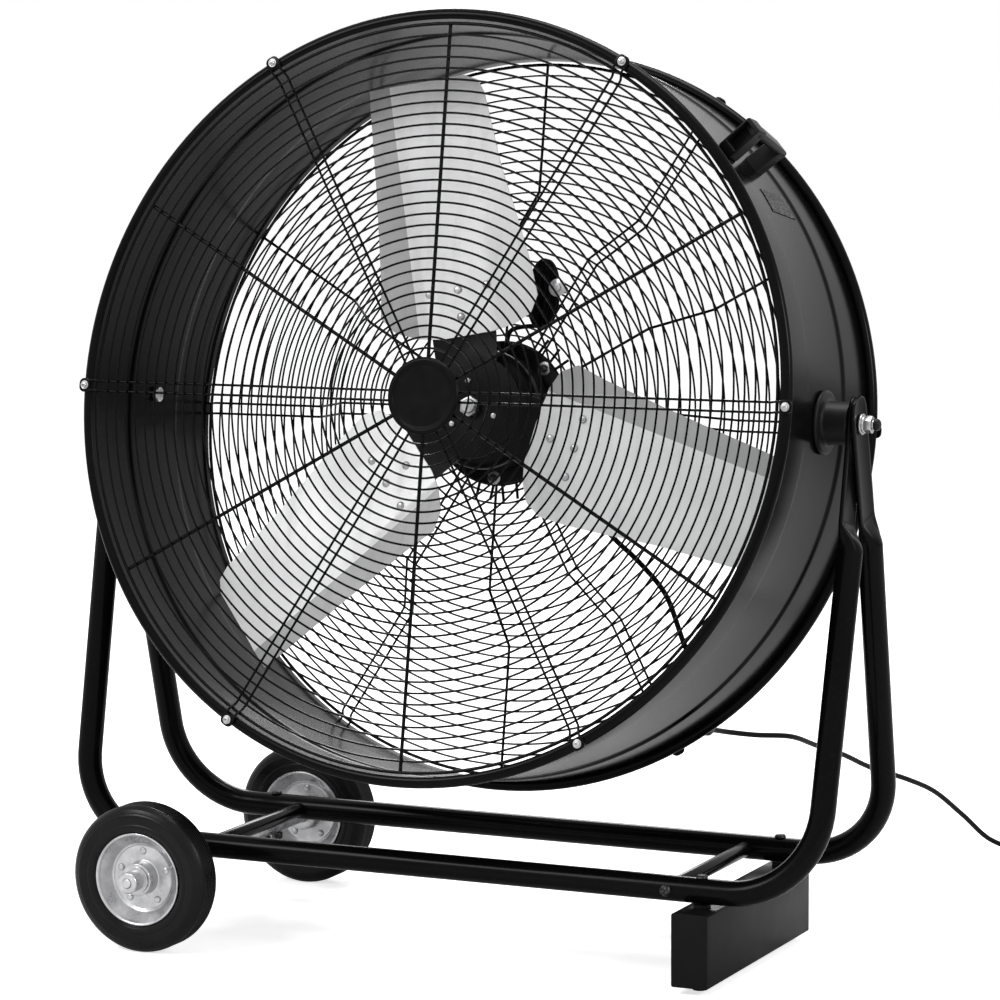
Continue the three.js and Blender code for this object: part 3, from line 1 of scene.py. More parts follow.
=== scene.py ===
"""Drum fan on a wheeled tube frame: the CAD frame dressed for its picture."""
import sys
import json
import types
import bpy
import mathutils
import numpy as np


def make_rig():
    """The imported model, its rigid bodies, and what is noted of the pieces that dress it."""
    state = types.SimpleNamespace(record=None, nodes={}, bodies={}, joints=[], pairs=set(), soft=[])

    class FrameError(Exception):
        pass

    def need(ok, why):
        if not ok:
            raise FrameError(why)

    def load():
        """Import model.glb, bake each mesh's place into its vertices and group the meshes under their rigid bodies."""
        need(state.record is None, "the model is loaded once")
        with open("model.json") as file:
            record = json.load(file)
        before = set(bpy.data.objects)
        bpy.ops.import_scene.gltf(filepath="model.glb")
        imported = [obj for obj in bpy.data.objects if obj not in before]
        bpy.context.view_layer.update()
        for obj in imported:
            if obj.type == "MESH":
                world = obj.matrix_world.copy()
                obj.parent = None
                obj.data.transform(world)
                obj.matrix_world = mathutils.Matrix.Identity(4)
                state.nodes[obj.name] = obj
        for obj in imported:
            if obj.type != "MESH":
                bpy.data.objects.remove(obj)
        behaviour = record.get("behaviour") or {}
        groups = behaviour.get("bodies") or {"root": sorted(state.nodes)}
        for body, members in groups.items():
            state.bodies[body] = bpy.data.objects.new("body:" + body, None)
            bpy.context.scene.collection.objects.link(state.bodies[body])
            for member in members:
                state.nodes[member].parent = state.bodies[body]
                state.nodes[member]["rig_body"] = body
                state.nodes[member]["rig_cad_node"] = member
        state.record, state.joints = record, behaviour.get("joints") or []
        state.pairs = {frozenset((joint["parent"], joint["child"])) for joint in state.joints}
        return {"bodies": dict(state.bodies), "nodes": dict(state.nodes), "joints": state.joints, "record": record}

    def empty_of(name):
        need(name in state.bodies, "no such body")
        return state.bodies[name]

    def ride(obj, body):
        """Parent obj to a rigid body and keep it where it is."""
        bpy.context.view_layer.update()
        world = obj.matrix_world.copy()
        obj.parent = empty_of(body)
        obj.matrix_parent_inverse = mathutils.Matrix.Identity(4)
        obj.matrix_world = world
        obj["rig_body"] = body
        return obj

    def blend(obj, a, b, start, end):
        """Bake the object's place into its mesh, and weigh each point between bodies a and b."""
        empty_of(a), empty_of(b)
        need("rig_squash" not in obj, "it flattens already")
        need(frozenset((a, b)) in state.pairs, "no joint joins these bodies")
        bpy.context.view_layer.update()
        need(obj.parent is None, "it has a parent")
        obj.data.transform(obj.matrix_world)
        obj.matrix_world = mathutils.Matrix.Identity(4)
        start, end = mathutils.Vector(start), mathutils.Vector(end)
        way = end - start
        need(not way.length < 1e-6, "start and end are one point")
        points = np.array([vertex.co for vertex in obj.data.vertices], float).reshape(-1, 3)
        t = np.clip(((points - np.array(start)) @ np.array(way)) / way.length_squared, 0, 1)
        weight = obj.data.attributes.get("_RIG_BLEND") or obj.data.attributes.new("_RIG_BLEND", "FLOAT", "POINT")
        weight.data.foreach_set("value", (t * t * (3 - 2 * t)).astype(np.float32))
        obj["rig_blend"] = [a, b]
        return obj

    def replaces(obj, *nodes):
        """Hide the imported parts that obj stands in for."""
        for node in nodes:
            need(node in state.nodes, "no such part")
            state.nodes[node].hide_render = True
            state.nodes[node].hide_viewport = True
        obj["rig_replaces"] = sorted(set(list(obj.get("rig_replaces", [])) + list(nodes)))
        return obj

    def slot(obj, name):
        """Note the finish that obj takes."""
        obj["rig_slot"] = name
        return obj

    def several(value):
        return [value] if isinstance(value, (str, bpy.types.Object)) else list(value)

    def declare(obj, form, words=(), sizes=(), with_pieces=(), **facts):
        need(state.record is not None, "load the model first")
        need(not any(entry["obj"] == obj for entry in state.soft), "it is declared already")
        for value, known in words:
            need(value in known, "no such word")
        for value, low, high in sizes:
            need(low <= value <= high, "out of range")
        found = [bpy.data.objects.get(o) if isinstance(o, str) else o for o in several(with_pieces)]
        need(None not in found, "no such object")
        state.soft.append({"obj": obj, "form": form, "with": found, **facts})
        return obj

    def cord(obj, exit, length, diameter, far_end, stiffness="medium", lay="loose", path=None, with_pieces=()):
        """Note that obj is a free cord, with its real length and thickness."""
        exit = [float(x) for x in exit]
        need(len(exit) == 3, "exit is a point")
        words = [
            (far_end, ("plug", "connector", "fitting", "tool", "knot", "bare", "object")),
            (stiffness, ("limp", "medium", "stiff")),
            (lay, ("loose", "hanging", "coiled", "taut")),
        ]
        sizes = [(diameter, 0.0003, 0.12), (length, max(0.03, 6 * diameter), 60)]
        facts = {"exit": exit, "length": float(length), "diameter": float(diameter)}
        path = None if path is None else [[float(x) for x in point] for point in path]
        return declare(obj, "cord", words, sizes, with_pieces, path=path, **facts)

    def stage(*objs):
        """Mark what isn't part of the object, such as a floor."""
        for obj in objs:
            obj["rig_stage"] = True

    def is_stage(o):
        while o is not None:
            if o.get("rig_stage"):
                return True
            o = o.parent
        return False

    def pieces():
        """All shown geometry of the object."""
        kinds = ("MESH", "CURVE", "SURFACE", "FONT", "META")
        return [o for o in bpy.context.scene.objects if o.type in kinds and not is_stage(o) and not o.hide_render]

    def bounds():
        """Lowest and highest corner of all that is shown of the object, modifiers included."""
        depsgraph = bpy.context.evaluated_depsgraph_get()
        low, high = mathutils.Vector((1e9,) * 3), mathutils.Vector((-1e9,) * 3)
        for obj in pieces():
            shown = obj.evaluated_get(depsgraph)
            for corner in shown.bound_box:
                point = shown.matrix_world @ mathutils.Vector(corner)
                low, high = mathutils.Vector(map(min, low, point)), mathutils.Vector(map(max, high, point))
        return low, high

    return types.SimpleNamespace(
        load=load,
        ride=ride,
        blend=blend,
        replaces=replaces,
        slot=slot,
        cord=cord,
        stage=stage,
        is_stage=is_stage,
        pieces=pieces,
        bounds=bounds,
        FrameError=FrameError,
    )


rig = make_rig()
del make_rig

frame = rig.load()

import json

import bpy
import numpy as np
from bpy.props import FloatProperty, FloatVectorProperty, IntProperty, PointerProperty
from mathutils import Matrix

bl_info = {
    "name": "Drum fan",
    "version": (1, 0, 0),
    "blender": (4, 5, 0),
    "location": "3D View > Sidebar > Drum fan",
    "description": "Dresses the solids of a tilting drum fan with smooth pieces and finishes",
    "category": "Add Mesh",
}

MM = 0.001
CAD_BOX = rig.bounds()

# ------------------------------------------------ sizes in mm and degrees, as in the CAD source
TILT = np.radians(10.83)
PIVOT_Z = 689.0
SCREW_TURN = 0.5
SCREW_R = 480.0
SCREW_ANGLES = tuple(SCREW_TURN + 60 * i for i in range(6))
RIM_FACE = 159.5
GRILLE_Y = 153.5
RIM_RING_R = 466.0
DISH_Y = 80.0
DISH_INNER_R = 229.0
DISH_OUTER_R = 297.0
BADGE_R = 48.5
HANDLE_DEG = 42.5
LABEL_DEG = 35.0
TUBE_R = 15.9
TUBE_Z = 122.0
TUBE_Y = 133.5
LEG = np.hypot(PIVOT_Z - TUBE_Z, TUBE_Y)
SUPPORT_X = 364.0
AXLE_Z = 95.3
BLADE_ANGLES = (102.3, -17.7, 222.3)
BLADE_T = 1.6
FLAP_COLUMNS = 8
RIVETS = ((117, 0), (152.4, -38), (152.4, 0), (152.4, 38))
CORD_R = 3.5
FLOOR_LINE = 3.6
COIL_START = np.array([540.0, 860.0, FLOOR_LINE])
HEADING = np.array([0.8, 0.6, 0.0])
COIL_R = 44.0
COIL_STEP = 7.6
COIL_TURNS = 4
COIL_RISE = 7.7
GLAND_R = 477.0
GLAND_DEG = -54.0
CAMERA_AT = np.array([2245.1, -4783.4, 1232.4])
CAMERA_TURN = (24.823, -7.138, -0.273)
CAMERA_LENS = 150.35
WORLD_LIGHT = 0.38
FLOOR_GLOW = 0.68


# ---------------------------------------------------------------- settings
class FanSizes(bpy.types.PropertyGroup):
    ring_step: FloatProperty(
        name="Ring step", description="From one guard ring to the next",
        default=0.014, min=0.008, max=0.03, unit="LENGTH"
    )
    wire: FloatProperty(
        name="Wire", description="Diameter of the guard rings",
        default=0.0028, min=0.002, max=0.004, unit="LENGTH"
    )
    round_steps: IntProperty(
        name="Round steps", description="Faces round the drum", default=192, min=48, max=288
    )


class FanColours(bpy.types.PropertyGroup):
    paint: FloatVectorProperty(
        name="Paint", description="Black gloss paint of the drum and tubes",
        default=(0.0022, 0.0022, 0.0024), subtype="COLOR", min=0, max=1
    )
    blade: FloatVectorProperty(
        name="Blades", description="Light grey of the blades",
        default=(0.93, 0.93, 0.94), subtype="COLOR", min=0, max=1
    )
    zinc: FloatVectorProperty(
        name="Zinc", description="Plating of rims, nuts and screws",
        default=(0.52, 0.52, 0.53), subtype="COLOR", min=0, max=1
    )
    rubber: FloatVectorProperty(
        name="Rubber", description="Tyres and feet",
        default=(0.004, 0.004, 0.004), subtype="COLOR", min=0, max=1
    )


# ---------------------------------------------------------------- surfaces
def unit(v):
    """Each vector divided by its length."""
    return v / np.linalg.norm(v, axis=-1, keepdims=True)


def drum_space(p):
    """Drum points (right, back, up from the centre) leaned back by the tilt and raised to the pivot."""
    x, y, z = np.moveaxis(p, -1, 0)
    c, s = np.cos(TILT), np.sin(TILT)
    return np.stack([x, y * c + z * s, z * c - y * s + PIVOT_Z], -1)


def polar(r, deg, y):
    """Drum point at radius r, deg from the right towards the top, and depth y."""
    r, a, y = np.broadcast_arrays(r, np.radians(deg), y)
    return np.stack([r * np.cos(a), y, r * np.sin(a)], -1)


def local(rho, y, u, deg):
    """Drum point at rho along a ray at deg, depth y, and u across the ray."""
    rho, y, u = np.broadcast_arrays(rho, y, u)
    c, s = np.cos(np.radians(deg)), np.sin(np.radians(deg))
    return np.stack([rho * c - u * s, y, rho * s + u * c], -1)


def ease(x):
    """0 below 0, 1 above 1, and a cubic with level ends between."""
    x = np.clip(x, 0, 1)
    return x * x * (3 - 2 * x)


def rounded(corners, radius, steps=4, closed=True):
    """Each corner becomes a parabola between points radius away on its two sides, at most 0.45 of a side."""
    c = np.asarray(corners, float)
    r = np.broadcast_to(np.asarray(radius, float), len(c)).copy()
    if not closed:
        r[[0, -1]] = 0
    before, after = np.roll(c, 1, 0) - c, np.roll(c, -1, 0) - c
    cut = [unit(s) * np.minimum(r, 0.45 * np.linalg.norm(s, axis=1))[:, None] for s in (before, after)]
    t = np.linspace(0, 1, steps)[None, :, None]
    p = c[:, None] + (1 - t) ** 2 * cut[0][:, None] + t**2 * cut[1][:, None]
    p = p.reshape(-1, c.shape[1])
    return p[np.r_[True, np.linalg.norm(np.diff(p, axis=0), axis=1) > 1e-6]]


def turned(profile, centre, axis, count=48, side=(0.31, 0.17, 0.93)):
    """A profile of [radius, height] carried round an axis through centre: rows follow the profile."""
    profile = np.asarray(profile, float)
    axis = unit(np.asarray(axis, float))
    first = unit(np.cross(np.cross(axis, side), axis))
    second = np.cross(axis, first)
    a = np.arange(count) * 2 * np.pi / count
    ring = np.cos(a)[:, None] * first + np.sin(a)[:, None] * second
    return np.asarray(centre, float) + profile[:, None, :1] * ring + profile[:, None, 1:] * axis


def tube(path, radius, count=12, up=(0, 1, 0), closed=False):
    """A circle carried along a path, square to it, its first axis square to up as well."""
    path = np.asarray(path, float)
    t = np.roll(path, -1, 0) - np.roll(path, 1, 0) if closed else np.gradient(path, axis=0)
    t = unit(t)
    first = unit(np.cross(t, up))
    second = np.cross(t, first)
    a = np.arange(count) * 2 * np.pi / count
    ring = np.cos(a)[:, None] * first[:, None] + np.sin(a)[:, None] * second[:, None]
    return path[:, None] + np.reshape(np.broadcast_to(radius, len(path)), (-1, 1, 1)) * ring


def extruded(outline, low, high, place, edge=0.8):
    """An outline between two heights whose rims are quarter circles of radius edge."""
    o = np.asarray(outline, float)
    t = unit(np.roll(o, -1, 0) - np.roll(o, 1, 0))
    x, y = o.T
    turn = np.sign(np.sum(x * np.roll(y, -1) - y * np.roll(x, -1)))
    inward = np.stack([-t[:, 1], t[:, 0]], -1) * turn
    phi = np.linspace(0, np.pi / 2, 4)
    drawn = np.r_[edge * (1 - np.sin(phi)), edge * (1 - np.sin(phi[::-1]))]
    height = np.r_[low + edge * (1 - np.cos(phi)), high - edge * (1 - np.cos(phi[::-1]))]
    p = o + drawn[:, None, None] * inward
    return place(p[..., 0], p[..., 1], np.broadcast_to(height[:, None], p.shape[:2]))


def along_y(a, b, h):
    """An outline in x and z, raised along y."""
    return np.stack([a, h, b], -1)


def rectangle(x0, x1, y0, y1):
    return [(x0, y0), (x1, y0), (x1, y1), (x0, y1)]


def hexagon(r):
    a = np.radians(np.arange(6) * 60 + 30)
    return np.stack([r * np.cos(a), r * np.sin(a)], -1)


def bent(corners, radius, steps=28):
    """Straight runs between corners, each inner corner on an arc of the radius."""
    c = np.asarray(corners, float)
    rows = [c[:1]]
    for a, b, d in zip(c, c[1:], c[2:]):
        u, v = unit(b - a), unit(d - b)
        half = np.arccos(u @ v) / 2
        inner, along = unit(v - u), unit(u + v)
        t = np.linspace(-half, half, steps)[:, None]
        centre = b + inner * radius / np.cos(half)
        rows.append(centre + radius * (along * np.sin(t) - inner * np.cos(t)))
    return np.vstack(rows + [c[-1:]])


def flowing(points, step):
    """Centripetal Catmull-Rom curve through the points, at even steps along it."""
    p = np.asarray(points, float)
    t = np.r_[0, np.cumsum(np.sqrt(np.linalg.norm(np.diff(p, axis=0), axis=1)))]
    v = np.diff(p, axis=0) / np.diff(t)[:, None]
    wide = (p[2:] - p[:-2]) / (t[2:] - t[:-2])[:, None]
    m = np.vstack([v[:1], v[:-1] + v[1:] - wide, v[-1:]])
    s = np.linspace(0, 1, 24, endpoint=False)[None, :, None]
    d = np.diff(t)[:, None, None]
    a, b, ma, mb = p[:-1, None], p[1:, None], m[:-1, None] * d, m[1:, None] * d
    near = (2 * s**3 - 3 * s**2 + 1) * a + (s**3 - 2 * s**2 + s) * ma
    fine = near + (3 * s**2 - 2 * s**3) * b + (s**3 - s**2) * mb
    return even(np.vstack([fine.reshape(-1, 3), p[-1:]]), step)


def even(line, step):
    """The same line with points at even lengths along it."""
    at = np.r_[0, np.cumsum(np.linalg.norm(np.diff(line, axis=0), axis=1))]
    want = np.linspace(0, at[-1], max(2, int(round(at[-1] / step)) + 1))
    return np.stack([np.interp(want, at, line[:, k]) for k in range(line.shape[1])], -1)


class Skin:
    """Grids of points gathered into one mesh object."""

    def __init__(self, space=None):
        self.space = space
        self.points, self.loops, self.sizes, self.marks = [], [], [], []
        self.count = 0

    def grid(self, p, wrap=True, loop=False, mark=0):
        """Quads between neighbouring points. wrap joins the last column to the first, loop the last row
        to the first, and open end rows get a face. The whole is turned over if its volume is negative."""
        p = np.asarray(p, float)
        p = self.space(p) if self.space else p
        rows, cols = p.shape[:2]
        i = np.arange(rows * cols).reshape(rows, cols)
        i = np.vstack([i, i[:1]]) if loop else i
        i = np.hstack([i, i[:, :1]]) if wrap else i
        quads = np.stack([i[:-1, :-1], i[:-1, 1:], i[1:, 1:], i[1:, :-1]], -1).reshape(-1, 4)
        flat = p.reshape(-1, 3)
        caps = [] if loop or not wrap else [np.arange(cols)[::-1], np.arange(cols) + (rows - 1) * cols]
        c = flat - flat.mean(0)
        fans = [np.stack([np.broadcast_to(f[0], len(f) - 2), f[1:-1], f[2:]], -1) for f in caps]
        tris = np.vstack([quads[:, [0, 1, 2]], quads[:, [0, 2, 3]], *fans])
        volume = np.einsum("ij,ij->", c[tris[:, 0]], np.cross(c[tris[:, 1]], c[tris[:, 2]]))
        turn = slice(None, None, -1 if volume < 0 else 1)
        self.loops += [quads[:, turn].ravel() + self.count] + [f[turn] + self.count for f in caps]
        self.sizes += [np.full(len(quads), 4)] + [np.array([len(f)]) for f in caps]
        self.marks += [np.full(len(quads) + len(caps), mark)]
        self.points.append(flat)
        self.count += len(flat)
        return self

    def ring(self, profile, centre, axis, count=48, mark=0, **more):
        """A closed profile turned into a ring."""
        return self.grid(turned(profile, centre, axis, count, **more), loop=True, mark=mark)

    def knob(self, profile, centre, axis, count=48, mark=0, **more):
        """A profile turned into a solid with flat ends."""
        return self.grid(turned(profile, centre, axis, count, **more), mark=mark)

    def make(self, name, finishes, body, *nodes, slot=None, angle=30):
        """The mesh object in place of CAD nodes, riding on a body if it names one. Edges sharper than
        angle stay hard."""
        me = bpy.data.meshes.new(name)
        points = np.vstack(self.points) * MM
        loops, sizes = np.concatenate(self.loops), np.concatenate(self.sizes)
        me.vertices.add(len(points))
        me.vertices.foreach_set("co", points.ravel())
        me.loops.add(len(loops))
        me.loops.foreach_set("vertex_index", loops.astype(np.int32))
        me.polygons.add(len(sizes))
        me.polygons.foreach_set("loop_start", np.r_[0, np.cumsum(sizes)[:-1]].astype(np.int32))
        me.polygons.foreach_set("material_index", np.concatenate(self.marks).astype(np.int32))
        me.update(calc_edges=True)
        me.validate()
        me.polygons.foreach_set("use_smooth", np.ones(len(me.polygons), bool))
        me.set_sharp_from_angle(angle=np.radians(angle))
        for f in finishes if isinstance(finishes, (list, tuple)) else [finishes]:
            me.materials.append(f)
        obj = bpy.data.objects.new(name, me)
        bpy.context.scene.collection.objects.link(obj)
        if body:
            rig.ride(obj, body)
        if nodes:
            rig.replaces(obj, *nodes)
        if slot:
            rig.slot(obj, slot)
        return obj


# ---------------------------------------------------------------- finishes
class Link:
    """A node's output, on which an operator adds one Math node."""

    def __init__(self, finish, out):
        self.finish, self.out = finish, out

    def _math(self, operation, *values):
        sockets = dict(enumerate(values))
        return self.finish.node("ShaderNodeMath", {"operation": operation}, sockets)

    def __add__(self, other):
        return self._math("ADD", self, other)

    def __rsub__(self, other):
        return self._math("SUBTRACT", other, self)

    def __mul__(self, other):
        return self._math("MULTIPLY", self, other)

    def sine(self):
        return self._math("SINE", self)


class Finish:
    """One material while its nodes are made."""

    def __init__(self, name):
        self.material = bpy.data.materials.new(name)
        self.material.use_nodes = True
        self.tree = self.material.node_tree
        self.tree.nodes.clear()

    def node(self, kind, settings=None, sockets=None, out=0):
        """Adds a node: settings first, then the values or links of its sockets."""
        n = self.tree.nodes.new(kind)
        for key, value in (settings or {}).items():
            setattr(n, key, value)
        for key, value in (sockets or {}).items():
            if isinstance(value, Link):
                self.tree.links.new(value.out, n.inputs[key])
            else:
                n.inputs[key].default_value = value
        return Link(self, n.outputs[out]) if len(n.outputs) else None

    def place(self, centre=(0, 0, 0), stretch=(1, 1, 1)):
        """Object coordinates, moved and stretched."""
        at = self.node("ShaderNodeTexCoord", out="Object")
        moved = self.node("ShaderNodeVectorMath", {"operation": "SUBTRACT"}, {0: at, 1: centre})
        return self.node("ShaderNodeMapping", {}, {"Vector": moved, "Scale": stretch})

    def noise(self, scale, detail=3.0, stretch=(1, 1, 1), rough=0.55):
        at = self.place(stretch=stretch)
        return self.node(
            "ShaderNodeTexNoise", {}, {"Vector": at, "Scale": scale, "Detail": detail, "Roughness": rough},
        )

    def span(self, value, low, high, to_low=0.0, to_high=1.0):
        """value carried from low..high to to_low..to_high and held there."""
        sockets = {0: value, 1: low, 2: high, 3: to_low, 4: to_high}
        return self.node("ShaderNodeMapRange", {"clamp": True}, sockets)

    def mix(self, share, a, b):
        """Colour a where share is 0 and b where it is 1."""
        paint = [(*c, 1.0) if isinstance(c, (tuple, list)) else c for c in (a, b)]
        return self.node("ShaderNodeMix", {"data_type": "RGBA"}, {0: share, 6: paint[0], 7: paint[1]}, out=2)

    def round_of(self, centre):
        """Distance from an axis along Y through centre."""
        at = self.place(centre=centre, stretch=(1, 0, 1))
        return self.node("ShaderNodeVectorMath", {"operation": "LENGTH"}, {0: at}, out="Value")

    def done(self, colour, rough, metal=0.0, height=None, depth=0.0002, strength=0.3, coat=0.0, gloss=0.5):
        """The surface shader with what was made, and its bump from height."""
        sockets = {"Base Color": colour if isinstance(colour, Link) else (*colour, 1.0), "Roughness": rough}
        sockets.update({"Metallic": metal, "Coat Weight": coat, "Specular IOR Level": gloss})
        if height is not None:
            bump = {"Strength": strength, "Distance": depth, "Height": height}
            sockets["Normal"] = self.node("ShaderNodeBump", {}, bump)
        shader = self.node("ShaderNodeBsdfPrincipled", {}, sockets)
        self.node("ShaderNodeOutputMaterial", {}, {"Surface": shader})
        return self.material


FINISHES = {}


def finish(name):
    """The finished material of that name, made once."""
    if name not in FINISHES:
        FINISHES[name] = globals()[name]()
    return FINISHES[name]


def shade(colour, factor):
    return tuple(min(1.0, c * factor) for c in colour)


def black_gloss_paint():
    """Smooth black enamel: faint orange peel, soft clouds in its gloss and a little dust."""
    f = Finish("black_gloss_paint")
    paint = tuple(bpy.context.scene.fan_colours.paint)
    cloud = f.noise(5.0, 4.0)
    dust = f.span(f.noise(240.0, 6.0), 0.58, 0.78)
    colour = f.mix(f.span(cloud, 0.35, 0.7), shade(paint, 0.8), shade(paint, 1.5))
    colour = f.mix(dust * 0.12, colour, (0.04, 0.04, 0.04))
    rough = f.span(cloud, 0.3, 0.7, 0.17, 0.23) + dust * 0.1
    return f.done(colour, rough, height=f.noise(420.0, 2.0), depth=0.0004, strength=0.05, gloss=0.055)


def black_wire():
    """Dip-coated wire: smoother and glossier, with small runs along the rings."""
    f = Finish("black_wire")
    paint = tuple(bpy.context.scene.fan_colours.paint)
    runs = f.noise(130.0, 3.0)
    colour = f.mix(f.span(runs, 0.4, 0.7), shade(paint, 0.7), shade(paint, 1.4))
    return f.done(
        colour, f.span(runs, 0.3, 0.7, 0.2, 0.3), height=runs, depth=0.0005, strength=0.12, gloss=0.08,
    )


def foot_paint():
    """Satin black powder coat with a fine grain."""
    f = Finish("foot_paint")
    paint = tuple(bpy.context.scene.fan_colours.paint)
    grain = f.noise(1400.0, 2.0)
    cloud = f.noise(14.0, 4.0)
    colour = f.mix(f.span(cloud, 0.35, 0.7), shade(paint, 2.2), shade(paint, 3.4))
    return f.done(
        colour, f.span(cloud, 0.3, 0.7, 0.38, 0.48), height=grain, depth=0.0003, strength=0.16, gloss=0.08,
    )


def blade_steel():
    """Light grey blade sheet: rolling streaks, faint clouds and fine flecks."""
    return blade_sheet("blade_steel", 1.0)


def blade_flap():
    """The same sheet at half its tone past the fold: painted shade standing in for the darker look of the flaps."""
    return blade_sheet("blade_flap", 0.5)


# share scales the sheet's tone: 1.0 for the blade face, 0.5 for the flaps, where the darkening is painted shade
def blade_sheet(name, share):
    f = Finish(name)
    tone = shade(bpy.context.scene.fan_colours.blade, share)
    streak = f.noise(70.0, 4.0, stretch=(1.0, 0.35, 0.12))
    cloud = f.noise(9.0, 4.0)
    fleck = f.span(f.noise(520.0, 5.0), 0.6, 0.75)
    colour = f.mix(f.span(cloud, 0.3, 0.72), shade(tone, 0.86), shade(tone, 1.1))
    colour = f.mix(f.span(streak, 0.5, 0.75) * 0.35, colour, shade(tone, 0.72))
    colour = f.mix(fleck * 0.2, colour, shade(tone, 0.6))
    rough = f.span(streak, 0.3, 0.7, 0.36, 0.5)
    return f.done(colour, rough, metal=0.28, height=streak, depth=0.0004, strength=0.12)


def spider_steel():
    """Black pressed steel with a soft sheen and draw marks."""
    f = Finish("spider_steel")
    marks = f.noise(60.0, 4.0, stretch=(1.0, 1.0, 0.2))
    colour = f.mix(f.span(marks, 0.35, 0.7), (0.004, 0.004, 0.004), (0.009, 0.009, 0.009))
    return f.done(
        colour, f.span(marks, 0.3, 0.7, 0.34, 0.48), height=marks, depth=0.0004, strength=0.1, gloss=0.09,
    )


def zinc():
    """Bright zinc plating: cloudy spangle, fine scratches and a duller bloom in patches."""
    f = Finish("zinc")
    tone = tuple(bpy.context.scene.fan_colours.zinc)
    spangle = f.node(
        "ShaderNodeTexVoronoi", {"feature": "F1"}, {"Vector": f.place(), "Scale": 260.0}, out="Color",
    )
    grey = f.node("ShaderNodeRGBToBW", {}, {0: spangle})
    cloud = f.noise(42.0, 5.0)
    scratch = f.span(f.noise(900.0, 3.0, stretch=(1.0, 0.1, 1.0)), 0.58, 0.72)
    colour = f.mix(f.span(cloud, 0.3, 0.72), shade(tone, 0.7), shade(tone, 1.3))
    colour = f.mix(grey * 0.2, colour, shade(tone, 0.6))
    rough = f.span(cloud, 0.3, 0.7, 0.22, 0.38) + scratch * 0.12
    return f.done(colour, rough, metal=0.92, height=cloud + grey * 0.3, depth=0.0004, strength=0.1)


def dark_bolt():
    """Blackened bolt steel, brighter where a spanner has been."""
    f = Finish("dark_bolt")
    worn = f.span(f.noise(300.0, 4.0), 0.5, 0.72)
    colour = f.mix(worn, (0.02, 0.02, 0.021), (0.16, 0.16, 0.165))
    return f.done(colour, 0.52 - worn * 0.18, metal=0.8, height=worn, depth=0.0002, strength=0.2)


def black_plastic():
    """Moulded black plastic with a fine spark-eroded grain."""
    f = Finish("black_plastic")
    grain = f.noise(1500.0, 3.0)
    cloud = f.noise(22.0, 3.0)
    colour = f.mix(f.span(cloud, 0.35, 0.7), (0.005, 0.005, 0.005), (0.01, 0.01, 0.0104))
    return f.done(
        colour, f.span(grain, 0.3, 0.7, 0.34, 0.46), height=grain, depth=0.0003, strength=0.22, gloss=0.12,
    )


def badge_plastic():
    """Satin black badge, smoother than the moulded parts."""
    f = Finish("badge_plastic")
    cloud = f.noise(60.0, 4.0)
    colour = f.mix(f.span(cloud, 0.35, 0.7), (0.003, 0.003, 0.003), (0.005, 0.005, 0.0052))
    return f.done(
        colour, f.span(cloud, 0.3, 0.7, 0.28, 0.36), height=f.noise(1800.0, 2.0), depth=0.0002, strength=0.1,
        gloss=0.05,
    )


def plate_foil():
    """Bare grey label foil, mottled and a little rubbed."""
    f = Finish("plate_foil")
    blot = f.noise(150.0, 5.0, stretch=(1.0, 1.0, 2.5))
    colour = f.mix(f.span(blot, 0.42, 0.6), (0.018, 0.018, 0.018), (0.11, 0.11, 0.112))
    return f.done(
        colour, f.span(blot, 0.3, 0.7, 0.5, 0.7), metal=0.15, height=blot, depth=0.0002, strength=0.2,
        gloss=0.15,
    )


def tyre_rubber():
    """Black tyre rubber: fine moulding rings on the sidewall, and dust in the pores."""
    f = Finish("tyre_rubber")
    tone = tuple(bpy.context.scene.fan_colours.rubber)
    centre = (-SUPPORT_X * MM, 0.0, AXLE_Z * MM)
    rings = (f.round_of(centre) * 1900.0).sine()
    pores = f.noise(900.0, 5.0)
    cloud = f.noise(26.0, 4.0)
    colour = f.mix(f.span(cloud, 0.35, 0.7), shade(tone, 0.75), shade(tone, 1.5))
    height = rings * 0.6 + pores * 0.5
    return f.done(
        colour, f.span(cloud, 0.3, 0.7, 0.24, 0.34), height=height, depth=0.0005, strength=0.3, gloss=0.14,
    )


def rubber():
    """Plain black rubber of the feet."""
    f = Finish("rubber")
    tone = tuple(bpy.context.scene.fan_colours.rubber)
    pores = f.noise(1100.0, 5.0)
    colour = f.mix(f.span(pores, 0.4, 0.7), shade(tone, 0.9), shade(tone, 1.8))
    return f.done(
        colour, f.span(pores, 0.3, 0.7, 0.55, 0.7), height=pores, depth=0.0003, strength=0.25, gloss=0.2,
    )


def cord_jacket():
    """Black cord jacket with faint drag lines and scuffs."""
    f = Finish("cord_jacket")
    drag = f.noise(320.0, 4.0)
    colour = f.mix(f.span(drag, 0.4, 0.7), (0.003, 0.003, 0.003), (0.006, 0.006, 0.006))
    return f.done(
        colour, f.span(drag, 0.3, 0.7, 0.36, 0.5), height=drag, depth=0.0003, strength=0.15, gloss=0.05,
    )


# ---------------------------------------------------------------- operators
STEPS = []


def step(cls):
    """Lists an operator, in the order in which it is run."""
    STEPS.append(cls)
    return cls


